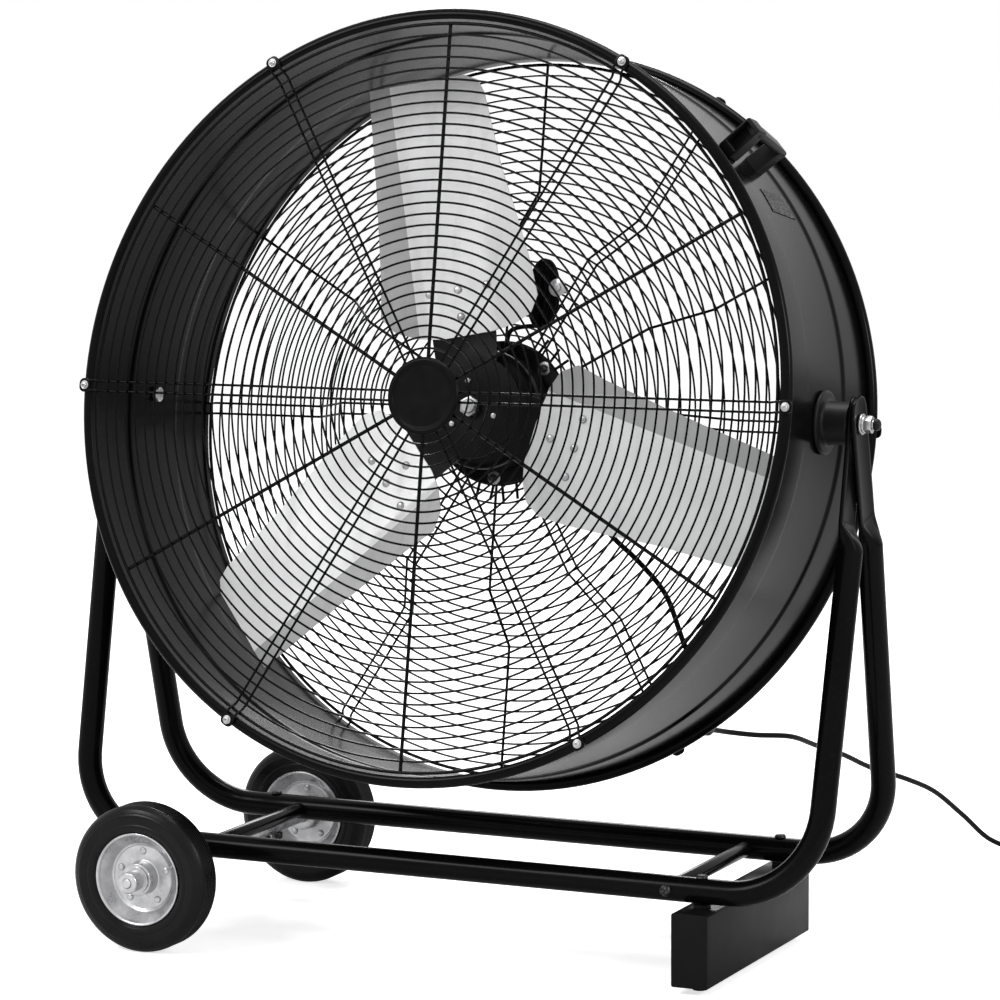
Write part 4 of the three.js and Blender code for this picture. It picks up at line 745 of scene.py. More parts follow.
@step
class FAN_OT_stage(bpy.types.Operator):
    """Camera at the picture's standpoint, white floor and surroundings, and soft lamps"""

    bl_idname = "fan.stage"
    bl_label = "Stage and camera"

    def execute(self, context):
        scene = context.scene
        yaw, pitch, roll = np.radians(CAMERA_TURN)
        ahead = np.array([-np.sin(yaw) * np.cos(pitch), np.cos(yaw) * np.cos(pitch), np.sin(pitch)])
        right = np.array([np.cos(yaw), np.sin(yaw), 0.0])
        over = np.cross(right, ahead)
        right, over = np.cos(roll) * right + np.sin(roll) * over, np.cos(roll) * over - np.sin(roll) * right
        camera = bpy.data.cameras.new("picture_camera")
        camera.lens, camera.sensor_width, camera.clip_end = CAMERA_LENS, 36.0, 100.0
        eye = bpy.data.objects.new("picture_camera", camera)
        scene.collection.objects.link(eye)
        turn = np.eye(4)
        turn[:3, :3] = np.stack([right, over, -ahead], 1)
        turn[:3, 3] = CAMERA_AT * MM
        eye.matrix_world = Matrix(turn.tolist())
        scene.camera = eye
        scene.view_settings.view_transform = "Standard"
        self.world(scene)
        floor = self.floor(scene)
        lamps = [
            self.lamp(scene, "key_softbox", (-2.2, -3.2, 3.4), (0, 0, 0.6), 1.5, 100),
            self.lamp(scene, "side_softbox", (3.6, -0.8, 2.2), (0, 0, 0.7), 1.0, 55),
            self.lamp(scene, "top_softbox", (0.2, 0.4, 4.0), (0, 0, 0), 1.8, 110),
            self.lamp(scene, "rear_softbox", (-1.5, 3.6, 2.2), (0, 0, 0.7), 1.2, 50),
        ]
        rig.stage(eye, floor, *lamps)
        return {"FINISHED"}

    def world(self, scene):
        """White where the camera or a reflection sees it, and grey as a light."""
        world = bpy.data.worlds.new("plain_studio")
        world.use_nodes = True
        tree = world.node_tree
        back = tree.nodes["Background"]
        path = tree.nodes.new("ShaderNodeLightPath")
        seen = path.outputs["Is Camera Ray"]
        for ray in ("Is Glossy Ray", "Is Transmission Ray"):
            both = tree.nodes.new("ShaderNodeMath")
            both.operation = "MAXIMUM"
            tree.links.new(seen, both.inputs[0])
            tree.links.new(path.outputs[ray], both.inputs[1])
            seen = both.outputs[0]
        level = tree.nodes.new("ShaderNodeMapRange")
        tree.links.new(seen, level.inputs["Value"])
        level.inputs["To Min"].default_value = WORLD_LIGHT
        level.inputs["To Max"].default_value = 1.0
        tree.links.new(level.outputs["Result"], back.inputs["Strength"])
        back.inputs["Color"].default_value = (1, 1, 1, 1)
        scene.world = world

    def floor(self, scene):
        """A wide white floor that takes a faint shadow."""
        me = bpy.data.meshes.new("floor")
        h, z = 30.0, -0.0004
        me.from_pydata([(-h, -h, z), (h, -h, z), (h, h, z), (-h, h, z)], [], [(0, 1, 2, 3)])
        f = Finish("white_floor")
        path = f.node("ShaderNodeLightPath", out="Is Camera Ray")
        cloud = f.noise(2.0, 2.0)
        tone = f.mix(cloud * 0.1, (0.9, 0.9, 0.9), (0.86, 0.86, 0.86))
        lit = f.node("ShaderNodeBsdfDiffuse", {}, {"Color": tone})
        glow = f.node("ShaderNodeEmission", {}, {"Strength": path * FLOOR_GLOW})
        both = f.node("ShaderNodeAddShader", {}, {0: lit, 1: glow})
        f.node("ShaderNodeOutputMaterial", {}, {"Surface": both})
        me.materials.append(f.material)
        obj = bpy.data.objects.new("floor", me)
        scene.collection.objects.link(obj)
        return obj

    def lamp(self, scene, name, at, to, size, power):
        """A square soft lamp that faces a point."""
        data = bpy.data.lights.new(name, "AREA")
        data.shape, data.size, data.energy = "SQUARE", size, power
        obj = bpy.data.objects.new(name, data)
        scene.collection.objects.link(obj)
        back = unit(np.array(at, float) - np.array(to, float))
        side = unit(np.cross([0.01, 0.02, 1.0], back))
        turn = np.eye(4)
        turn[:3, :3] = np.stack([side, np.cross(back, side), back], 1)
        turn[:3, 3] = at
        obj.matrix_world = Matrix(turn.tolist())
        return obj


def cord_line():
    """Out of the gland, down in a slack curve to the floor, along it, and into a flat spiral, in and out."""
    start = drum_space(polar(GLAND_R, GLAND_DEG, 178.1))
    out = drum_space(polar(GLAND_R, GLAND_DEG, 192.1))
    end = COIL_START - 7.3 * HEADING
    route = [
        (286, 150, 266), (306, 196, 256), (332, 250, 247), (339, 330, 222), (349, 410, 196), (361, 480, 168),
        (387, 560, 139), (403, 625, 112), (420, 700, 66), (440, 765, 20),
        (465, 800, FLOOR_LINE), (500, 830, FLOOR_LINE),
    ]
    free = flowing([start, out, *route, end - 12 * HEADING, end], 6.0)
    side = np.array([-HEADING[1], HEADING[0], 0.0])
    centre = COIL_START + COIL_R * side
    begin = np.arctan2(-side[1], -side[0])
    turn = np.arange(COIL_TURNS * 60 + 1) / 60
    r = COIL_R - COIL_STEP * np.minimum(turn, COIL_TURNS - turn)
    climb = np.clip((turn - 1.75) / 0.5, 0, 1)
    a = begin + 2 * np.pi * turn
    coil = np.stack(
        [centre[0] + r * np.cos(a), centre[1] + r * np.sin(a), FLOOR_LINE + COIL_RISE * climb], -1,
    )
    top = COIL_START + [0, 0, COIL_RISE] + 29.6 * HEADING
    line = np.vstack([free, coil, [top]])
    line[:, 2] = np.maximum(line[:, 2], FLOOR_LINE)
    return even(line, 4.0)


@step
class FAN_OT_mains_cord(bpy.types.Operator):
    """Mains cord with its coil on the floor and its plug"""

    bl_idname = "fan.mains_cord"
    bl_label = "Mains cord and plug"

    def execute(self, context):
        line = cord_line()
        s = Skin()
        s.grid(tube(line, CORD_R, 16, up=(0.37, -0.21, 0.9)))
        cord = s.make(
            "mains_cord_run", finish("cord_jacket"), None, "mains_cord", "mains_cord_coil",
            slot="cord_jacket",
        )
        # the far end keeps to the frame and the near end to the drum
        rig.blend(cord, "frame", "drum", start=(0.339, 0.33, 0.222), end=line[6] * MM)
        plug = self.plug()
        length = np.linalg.norm(np.diff(line, axis=0), axis=1).sum() * MM
        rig.cord(cord, exit=line[0] * MM, length=float(length), diameter=2 * CORD_R * MM, far_end="plug",
                stiffness="medium", lay="coiled", with_pieces=(plug,), path=line * MM)
        return {"FINISHED"}

    def plug(self):
        """Boot, body with a waist and a parting line, and three flat pins that point up."""
        z = FLOOR_LINE + COIL_RISE
        half = z - 0.1
        side = np.array([-HEADING[1], HEADING[0], 0.0])

        def place(a, b, h):
            base = COIL_START + [0, 0, COIL_RISE] + a[..., None] * HEADING
            return base + b[..., None] * side + h[..., None] * [0, 0, 1]

        s = Skin()
        start, body0, body1 = 30.3, 50.3, 98.3
        boot = rounded(
            [
                (4.2, 0), (4.9, 0.4), (4.9, 3), (4.2, 4), (5.2, 7), (4.5, 8), (5.6, 11), (5.0, 12), (6.3, 15),
                (6.5, 22),
            ],
            0.4, 3, False,
        )
        s.knob(boot, COIL_START + [0, 0, COIL_RISE] + start * HEADING, HEADING, 24)
        outline = rounded(
            [(body0, -13), (body0 + 12, -25), (body1, -25), (body1, 25), (body0 + 12, 25), (body0, 13)], 5, 6,
        )
        s.grid(extruded(outline, -half, half, place, 2.4))
        lid = rounded(
            [
                (body0 + 5, -11), (body0 + 14, -20), (body1 - 4, -20), (body1 - 4, 20), (body0 + 14, 20),
                (body0 + 5, 11),
            ],
            4, 5,
        )
        s.grid(extruded(lid, half - 1, half + 0.35, place, 0.3))
        for x, y, wx, wy in ((body1 - 12, 0, 8, 4), (body1 - 34, 11, 4, 6.3), (body1 - 34, -11, 4, 6.3)):
            pin = rounded(rectangle(x - wx / 2, x + wx / 2, y - wy / 2, y + wy / 2), 0.5, 3)
            s.grid(extruded(pin, half - 1, half + 18, place, 0.7), mark=1)
        return s.make(
            "mains_plug_body", [finish("black_plastic"), finish("zinc")], "frame", "mains_plug",
            slot="cord_jacket",
        )


@step
class FAN_OT_drum_shell(bpy.types.Operator):
    """Rolled drum shell with beaded rims and stepped bands"""

    bl_idname = "fan.drum_shell"
    bl_label = "Drum shell"

    def execute(self, context):
        count = context.scene.fan_sizes.round_steps
        outer = [(473, -66), (470, -60), (470, 60), (473, 66)]
        inner = [(471, 66), (468, 60), (468, -60), (471, -66)]
        profile = self.profile(outer, inner)
        s = Skin(drum_space)
        s.ring(profile, (0, 0, 0), (0, 1, 0), count, side=(1, 0, 0))
        s.make(
            "drum_shell_skin", finish("black_gloss_paint"), "drum", "drum_shell", slot="black_gloss_paint",
            angle=50,
        )
        return {"FINISHED"}

    def profile(self, outer, inner):
        """Front bead from its outer joint round to its inner one, inner wall, rear bead, outer wall."""
        a_out, a_in = np.arcsin(-4 / 8), np.arcsin(-6 / 8)
        arc = np.linspace(a_out, np.pi - a_in, 24)
        front = np.stack([477 + 8 * np.sin(arc), -151.5 + 8 * np.cos(arc)], -1)
        rear = front[::-1] * [1, -1]
        wall_in = rounded([front[-1] + [0, 0.5], *inner[::-1], rear[0] - [0, 0.5]], 3, 5, False)
        wall_out = rounded([rear[-1] - [0, 0.5], *outer[::-1], front[0] + [0, 0.5]], 3, 5, False)
        return np.vstack([front, wall_in, rear, wall_out])


def wire_ring(s, radius, y, wire, count, sides=6):
    """A round wire bent to a circle about the drum's axis."""
    a = np.arange(sides) * 2 * np.pi / sides
    s.ring(
        np.stack([radius + wire / 2 * np.cos(a), y + wire / 2 * np.sin(a)], -1), (0, 0, 0), (0, 1, 0), count,
        side=(1, 0, 0),
    )


def spoke(s, line, offset, deg, wire, sides=8):
    """A round wire along a line of [radius, depth], offset to one side of a ray."""
    line = np.asarray(line, float)
    path = local(line[:, 0], line[:, 1], offset, deg)
    a = np.radians(deg)
    s.grid(tube(path, wire / 2, sides, up=(-np.sin(a), 0, np.cos(a))))


def dish(r):
    """Depth of the rear rings: level, a cone, and level again."""
    share = (r - DISH_INNER_R) / (DISH_OUTER_R - DISH_INNER_R)
    return DISH_Y + (GRILLE_Y - DISH_Y) * np.clip(share, 0, 1)


def hairpins(s, side, line, pair_half, wire, single):
    """Pairs that carry on past the rim into an eye under each screw, and single wires between them."""
    eye = RIM_FACE + 0.3 + 1.5
    last = line[-1][1]
    tail = rounded([(440, last), (459, last), (468, eye), (475, eye)], 4, 4, False)
    for deg in SCREW_ANGLES:
        both = np.vstack([line, tail]) * [1, side]
        for half in (-pair_half, pair_half):
            spoke(s, both, half, deg, wire)
        outline = rounded([(473, -9), (484, -9), (488, -5), (488, 5), (484, 9), (473, 9)], 3, 4)

        def place(a, b, h):
            return local(a, side * h, b, deg)

        s.grid(extruded(outline, RIM_FACE + 0.3, RIM_FACE + 3.3, place, 0.7))
        spoke(s, np.vstack([line, [(RIM_RING_R, last)]]) * [1, side], 0, deg + 30, single)


@step
class FAN_OT_front_guard(bpy.types.Operator):
    """Front guard of close wire rings on single and double spokes"""

    bl_idname = "fan.front_guard"
    bl_label = "Front guard"

    def execute(self, context):
        sizes = context.scene.fan_sizes
        pitch, wire = sizes.ring_step / MM, sizes.wire / MM
        s = Skin(drum_space)
        for r in np.arange(RIM_RING_R - pitch, 46.5, -pitch):
            wire_ring(s, r, -GRILLE_Y, wire, 144)
        wire_ring(s, RIM_RING_R, -GRILLE_Y + 0.3, 4.4, 160, 8)
        wire_ring(s, 46.0, -GRILLE_Y, 3.0, 96)
        hairpins(s, -1, [(44, 150.4), (200, 150.4), (400, 150.4)], 6.3, 3.2, 4.8)
        s.make("front_guard", finish("black_wire"), "drum", "front_grille", slot="black_wire", angle=60)
        return {"FINISHED"}


@step
class FAN_OT_rear_guard(bpy.types.Operator):
    """Rear guard dished in to the motor, with its carrier ring"""

    bl_idname = "fan.rear_guard"
    bl_label = "Rear guard"

    def execute(self, context):
        sizes = context.scene.fan_sizes
        pitch, wire = sizes.ring_step / MM, sizes.wire / MM
        s = Skin(drum_space)
        for r in np.arange(RIM_RING_R - pitch, 95, -pitch):
            wire_ring(s, r, dish(r), wire, 144)
        wire_ring(s, RIM_RING_R, GRILLE_Y - 0.3, 4.4, 160, 8)
        r = np.array([96, 160, 222, 229, 236, 263, 290, 297, 304, 350, 430])
        level = dish(r) - 2.9 - 1.2 * np.exp(-(((r - 297) / 9.0) ** 2))
        line = np.stack([np.r_[84.0, r[1:]], np.r_[76.9, level[1:]]], -1)
        hairpins(s, 1, line, 7.0, 3.2, 3.8)
        ring = rounded([(70, 75.2), (94, 75.2), (94, 78.2), (70, 78.2)], 0.8, 4)
        s.ring(ring, (0, 0, 0), (0, 1, 0), 96)
        for deg in SCREW_ANGLES:
            at = polar(SCREW_R, deg, RIM_FACE + 3.3)
            head = rounded([(5.5, 0), (5.5, 1.4), (4.2, 3.2), (2.2, 3.9)], 0.8, 4, False)
            s.knob(head, at, (0, 1, 0), 24, mark=1)
        for deg in (35, 55, 170, 190, 260, 280):
            for half in (-10, 10):
                spoke(s, [(88, 83.2), (112, 83.2)], half, deg, 4.0)
        s.make(
            "rear_guard", [finish("black_wire"), finish("zinc")], "drum", "rear_grille", slot="black_wire",
            angle=60,
        )
        return {"FINISHED"}


@step
class FAN_OT_guard_screws(bpy.types.Operator):
    """Pan-head screws with washers round the front rim"""

    bl_idname = "fan.guard_screws"
    bl_label = "Guard screws"

    def execute(self, context):
        washer = [
            (5.5, 0), (5.5, 0.9), (4.6, 1.3), (3.9, 0.9), (3.8, 1.2), (3.8, 2.2), (3.1, 3.4), (1.6, 4.0),
        ]
        for i, deg in enumerate(SCREW_ANGLES):
            at = polar(SCREW_R, deg, -(RIM_FACE + 3.6))
            s = Skin(drum_space)
            s.knob(rounded(washer, 0.4, 3, False), at, (0, -1, 0), 32)
            # two dark rods across each head stand for the cross recess: their dark steel is painted shade of the
            # recess
            for half in (0, 90):
                a = np.radians(deg + half + 20)
                across = np.array([np.cos(a), 0, np.sin(a)])
                slot = np.array([at + across * k + [0, -3.72, 0] for k in (-1.9, 0, 1.9)])
                s.grid(tube(slot, 0.42, 8), mark=1)
            node = f"grille_screw_{i + 1}"
            s.make(f"guard_screw_{i + 1}", [finish("zinc"), finish("dark_bolt")], "drum", node, slot="zinc")
        return {"FINISHED"}


@step
class FAN_OT_badge(bpy.types.Operator):
    """Bare round badge with a raised bevelled edge"""

    bl_idname = "fan.badge"
    bl_label = "Badge"

    def execute(self, context):
        s = Skin(drum_space)
        profile = [
            (40, -156), (BADGE_R, -156), (BADGE_R, -158.2), (46.2, -160.6), (43.6, -161), (41.6, -160.4),
            (40.4, -158.9), (38, -158.7), (6, -158.7),
        ]
        s.knob(rounded(profile, 0.9, 4, False), (0, 0, 0), (0, 1, 0), 96)
        s.make("badge_disc", finish("badge_plastic"), "drum", "grille_badge", slot="badge_plastic")
        return {"FINISHED"}


@step
class FAN_OT_motor(bpy.types.Operator):
    """Motor with its ribbed body, domed front cap, flange and bolts"""

    bl_idname = "fan.motor"
    bl_label = "Motor"

    def execute(self, context):
        s = Skin(drum_space)
        ribs = [p for y in range(36, 60, 6) for p in ((73, y), (73, y + 1), (75, y + 2.4), (75, y + 4))]
        body = [(75, 23.3), (75, 34), *ribs, (73, 60.5), (75, 62), (75, 70.4), (92, 70.4), (92, 74.9)]
        s.knob(rounded(body, 0.8, 4, False), (0, 0, 0), (0, 1, 0), 96)
        s.make("motor_shell", finish("spider_steel"), "drum", "motor_body", slot="black_gloss_paint")
        s = Skin(drum_space)
        cap = [(8, -3), (21, -3), (21, 3), (40, 3.6), (58, 5.5), (71, 10.5), (76, 16), (77, 20), (77, 23)]
        s.knob(rounded(cap, 3, 5, False), (0, 0, 0), (0, 1, 0), 96)
        for deg in range(0, 360, 60):
            line = [(26, 2.4), (44, 2.9), (58, 5.0), (68, 9.0)]
            spoke(s, line, 0, deg + 15, 3.4)
        s.make("motor_cap", finish("spider_steel"), "drum", "motor_front_cap", slot="black_gloss_paint")
        for i, deg in enumerate((45, 180, -90)):
            at = polar(84, deg, 70.1)
            s = Skin(drum_space)
            s.knob(rounded([(8.8, 0), (8.8, 1.5), (3.5, 1.5)], 0.4, 3, False), at, (0, -1, 0), 32)

            def place(a, b, h):
                return at + np.stack([a, -h, b], -1)

            s.grid(extruded(rounded(hexagon(5.4), 0.4, 3), 1.5, 5.6, place, 0.6), mark=1)
            node = f"motor_bolt_{i + 1}"
            s.make(
                f"motor_bolt_skin_{i + 1}", [finish("zinc"), finish("dark_bolt")], "drum", node, slot="zinc",
            )
        return {"FINISHED"}


def blade_depth(rho, u):
    """Depth of a blade's front: straight between five lines across it, each with its depth by the radius."""
    s, w = np.clip((rho - 170) / 255, 0, 1), np.clip((rho - 170) / 60, 0, 1)
    at = [-99.0, -44.0, 44.0, 55.0, 100.0]
    deep = [9 - 6 * s, -6.7 + 2.2 * w, -19.3 - 2 * w, -24.5 + 0 * s, -39 + 10 * s]
    y = deep[0] + (deep[1] - deep[0]) * (u - at[0]) / (at[1] - at[0])
    for k in range(1, 4):
        y = np.where(u > at[k], deep[k] + (deep[k + 1] - deep[k]) * (u - at[k]) / (at[k + 1] - at[k]), y)
    return y


def plate_grid(s, deg, rho, across, front, thickness, mark=0):
    """A sheet with rows along rho and columns across: down its front and back along its rear."""
    y = front(rho, across)
    face = local(rho, y, across, deg)
    rear = local(rho, y + thickness, across, deg)[:, ::-1]
    s.grid(np.concatenate([face, rear], 1), mark=mark)


@step
class FAN_OT_blades(bpy.types.Operator):
    """Three folded steel blades with their rivets"""

    bl_idname = "fan.blades"
    bl_label = "Blades"

    def execute(self, context):
        outline = np.array([
            (92, -40, 30), (97, -66, 58), (108, -88, 84), (130, -99, 100), (170, -96, 95), (230, -87, 91.5),
            (300, -75, 88), (400, -65, 84.5), (418, -58, 83.3), (427, -42, 83),
        ], float)
        rho = np.r_[
            np.linspace(92, 97, 4), np.linspace(98.5, 130, 12), np.linspace(136, 400, 40),
            np.linspace(403, 427, 12),
        ]
        low = np.interp(rho, outline[:, 0], outline[:, 1])
        high = np.interp(rho, outline[:, 0], outline[:, 2])
        stops = [
            low, *(np.clip(f, low + 1.0, high - 1.0) for f in (-44.5, -43.5, 43.4, 44.6, 54.4, 55.6)), high,
        ]
        shares = [np.linspace(0, 1, n, endpoint=False) for n in (9, 1, 12, 1, 2, 1, 7)]
        across = [a[:, None] + (b - a)[:, None] * t for a, b, t in zip(stops, stops[1:], shares)]
        across = np.hstack(across + [high[:, None]])
        grid = np.broadcast_to(rho[:, None], across.shape)
        for i, deg in enumerate(BLADE_ANGLES):
            s = Skin(drum_space)
            plate_grid(s, deg, grid, across, blade_depth, BLADE_T)
            n = across.shape[1]
            # faces past the fold take material 2, the flap finish, whose half tone is painted shade
            flap = np.zeros((len(rho) - 1, 2 * n), int)
            flap[:, n - FLAP_COLUMNS : n + FLAP_COLUMNS - 1] = 2
            s.marks[-1][: flap.size] = flap.ravel()
            for r, u in RIVETS:
                at = local(r, blade_depth(float(r), float(u)) - 0.1, u, deg)
                head = [(5.5, 0), (5.5, 0.5), (4.6, 1.7), (2.6, 2.5), (0.6, 2.7)]
                s.knob(rounded(head, 0.5, 3, False), at, (0, -1, 0), 20, mark=1)
            s.make(
                f"blade_skin_{i + 1}", [finish("blade_steel"), finish("zinc"), finish("blade_flap")], "rotor",
                f"blade_{i + 1}", slot="blade_steel", angle=24,
            )
        return {"FINISHED"}


@step
class FAN_OT_spider(bpy.types.Operator):
    """Pressed spider with three arms, its boss, screws, shaft end and nut"""

    bl_idname = "fan.spider"
    bl_label = "Spider and shaft"

    def execute(self, context):
        s = Skin(drum_space)
        disc = [(9.8, -15), (66, -15), (66, -12), (26, -12), (24, -4), (9.8, -4)]
        s.ring(rounded(disc, 0.8, 4), (0, 0, 0), (0, 1, 0), 72)
        rho = np.linspace(38, 166, 34)
        half = 41.5 * np.interp(rho, [38, 52, 160, 166], [0.75, 1, 1, 0.9])
        across = half[:, None] * np.linspace(-1, 1, 15)
        grid = np.broadcast_to(rho[:, None], across.shape)

        def depth(r, u):
            blade = blade_depth(r, np.clip(u, -44, 44)) + BLADE_T + 0.4
            return -14.7 + (blade + 14.7) * ease((r - 50) / 42)

        for deg in BLADE_ANGLES:
            plate_grid(s, deg, grid, across, depth, 2.9)
        for i in range(3):
            at = polar(34, -17.7 + 120 * i, -15)
            s.knob(
                rounded([(4, 0), (4, 2.2), (2.8, 3.5), (1, 3.5)], 0.5, 3, False), at, (0, -1, 0), 20, mark=1,
            )
        s.make(
            "spider_skin", [finish("spider_steel"), finish("zinc")], "rotor", "rotor_spider",
            slot="spider_steel",
        )
        s = Skin(drum_space)
        s.knob(rounded([(9.5, 22), (9.5, -26), (8.3, -27.3)], 0.6, 3, False), (0, 0, 0), (0, 1, 0), 32)
        s.grid(extruded(rounded(hexagon(14), 0.8, 3), -23.3, -15.4, along_y, 1.2))
        s.make("rotor_shaft_skin", finish("zinc"), "rotor", "rotor_shaft", slot="zinc")
        return {"FINISHED"}


@step
class FAN_OT_switch_box(bpy.types.Operator):
    """Connection box behind the motor, and its speed knob"""

    bl_idname = "fan.switch_box"
    bl_label = "Connection box and knob"

    def execute(self, context):
        s = Skin(drum_space)
        s.grid(extruded(rounded(rectangle(-42, 42, -42, 42), 8, 7), 75.2, 118.2, along_y, 2.2))
        s.grid(extruded(rounded(rectangle(-41.7, 41.7, -41.7, 41.7), 8, 7), 100.0, 101.0, along_y, 0.2))
        for x in (-34, 34):
            for z in (-34, 34):
                s.knob([(3.2, 0), (3.2, 0.25), (2.0, 0.3)], (x, 118.0, z), (0, 1, 0), 20, mark=1)
        s.make(
            "switch_box", [finish("black_plastic"), finish("dark_bolt")], "drum", "terminal_box",
            slot="black_plastic",
        )
        a = np.arange(96) * 2 * np.pi / 96
        grip = 17.4 + 0.6 * np.cos(24 * a)
        rows = [(0.94, 118.5), (0.98, 118.8), (1, 120), (1, 132), (0.97, 135), (0.9, 136.3), (0.8, 136.5)]
        p = np.stack([
            np.stack([grip * k * np.cos(a), np.full(96, y), grip * k * np.sin(a)], -1) for k, y in rows
        ])
        s = Skin(drum_space)
        s.grid(p)
        s.grid(tube(np.array([(0, 136.0, z) for z in (5, 9, 14)]), 0.8, 8, up=(1, 0, 0)), mark=1)
        s.make(
            "speed_knob_skin", [finish("black_plastic"), finish("plate_foil")], "knob", "speed_knob",
            slot="black_plastic",
        )
        return {"FINISHED"}


@step
class FAN_OT_handle(bpy.types.Operator):
    """Grab handle on the drum, and the bare label plate beside it"""

    bl_idname = "fan.handle"
    bl_label = "Handle and label"

    def execute(self, context):
        s = Skin(drum_space)
        post = [
            self.loop(472.4, 524, 12, 3, -66), self.loop(472.4, 524, 12, 3, -87.5),
            self.loop(472.8, 523.6, 11.6, 2.8, -89.4),
        ]
        post += [self.loop(474, 522.4, 10.4, 2, -90.3), self.loop(483.6, 519.6, 9.6, 1.6, -90.5)]
        post += [self.loop(484.6, 518.8, 9.0, 1.4, -89.6), self.loop(485, 518.4, 8.8, 1.4, -74)]
        s.grid(np.array(post))
        grip = []
        for y in (-80, -66, -46, -27, -5, 16, 32, 36, 37.6, 38):
            inset = float(np.interp(y, [32, 36, 37.6, 38], [0, 0.6, 2, 3.4]))
            low = np.interp(y, [-66, 16, 38], [511, 503, 500])
            high = np.interp(y, [-92, -27, 38], [524, 518, 510])
            grip.append(self.loop(low + inset, high - inset, 12 - inset, 3, y))
        s.grid(np.array(grip))
        foot = []
        for rho in (469.6, 480, 492, 503, 507):
            y0, y1 = np.interp(rho, [469.6, 503, 507], [8, 16, 17]), np.interp(rho, [469.6, 507], [32, 37])
            p = rounded(rectangle(y0, y1, -12, 12), 2.4, 4)
            foot.append(local(rho, p[:, 0], p[:, 1], HANDLE_DEG))
        s.grid(np.array(foot))
        s.make("handle_grip", finish("black_plastic"), "drum", "handle", slot="black_plastic", angle=35)
        plate = Skin(drum_space)
        turn = np.linspace(-2.07, 2.07, 9) + LABEL_DEG
        deep_y = np.array([-27, -26.5, 51.5, 52])
        rows = [polar(470.3, turn[None, :], deep_y[:, None]), polar(470.8, turn[None, ::-1], deep_y[:, None])]
        plate.grid(np.concatenate(rows, 1))
        plate.make("label_plate", finish("plate_foil"), "drum", "rating_plate", slot="plate_foil")
        return {"FINISHED"}

    def loop(self, low, high, half, radius, y):
        """A rounded rectangle between two radii, half to each side of the handle's ray, at one depth."""
        p = rounded(rectangle(low, high, -half, half), radius, 4)
        return local(p[:, 0], y, p[:, 1], HANDLE_DEG)


@step
class FAN_OT_pivots(bpy.types.Operator):
    """Pivot bosses on the drum and the bolt, washer, nut and cap at each side"""

    bl_idname = "fan.pivots"
    bl_label = "Pivots"

    def execute(self, context):
        for name, side in (("right", 1), ("left", -1)):
            centre, axis = (0, 0, PIVOT_Z), (side, 0, 0)
            s = Skin()
            boss = [
                (13, 470.3), (40, 470.3), (40, 473.8), (37, 475.3), (29, 475.8), (27, 478), (26.6, 506.5),
                (25.2, 508), (7, 508),
            ]
            s.knob(rounded(boss, 1.2, 4, False), centre, axis, 64)
            s.make(
                f"pivot_boss_skin_{name}", finish("black_plastic"), "drum", f"pivot_boss_{name}",
                slot="black_plastic",
            )
            s = Skin()
            s.knob(
                rounded([(2, 459.2), (8.6, 459.2), (10, 460.6), (10, 466.2), (3, 466.2)], 0.6, 3, False),
                centre, axis, 32,
            )
            washer = [(6.2, 518.9), (13, 518.9), (13, 521.2), (12, 521.4), (6.2, 521.4)]
            s.knob(rounded(washer, 0.5, 3, False), centre, axis, 40)
            spring = [(6, 521.4), (10.6, 521.5), (10.9, 522.2), (10.9, 523.6), (10.5, 524.1), (6, 524.1)]
            s.knob(rounded(spring, 0.4, 3, False), centre, axis, 40)

            def place(a, b, h):
                return np.stack([side * h, a, b + PIVOT_Z], -1)

            s.grid(extruded(rounded(hexagon(11), 0.9, 3), 524.1, 533.9, place, 1.3))
            s.knob(rounded([(5.9, 533.5), (5.9, 535.6), (5.2, 536)], 0.4, 3, False), centre, axis, 32)
            cap = [
                (4.5, 535.6), (7.0, 535.7), (7.5, 536.6), (7.5, 539.6), (6.4, 541.9), (4.5, 543.2),
                (1.2, 543.4),
            ]
            s.knob(rounded(cap, 0.8, 4, False), centre, axis, 32, mark=1)
            s.make(
                f"pivot_bolt_skin_{name}", [finish("zinc"), finish("black_plastic")], "drum",
                f"pivot_bolt_{name}", slot="zinc",
            )
        return {"FINISHED"}


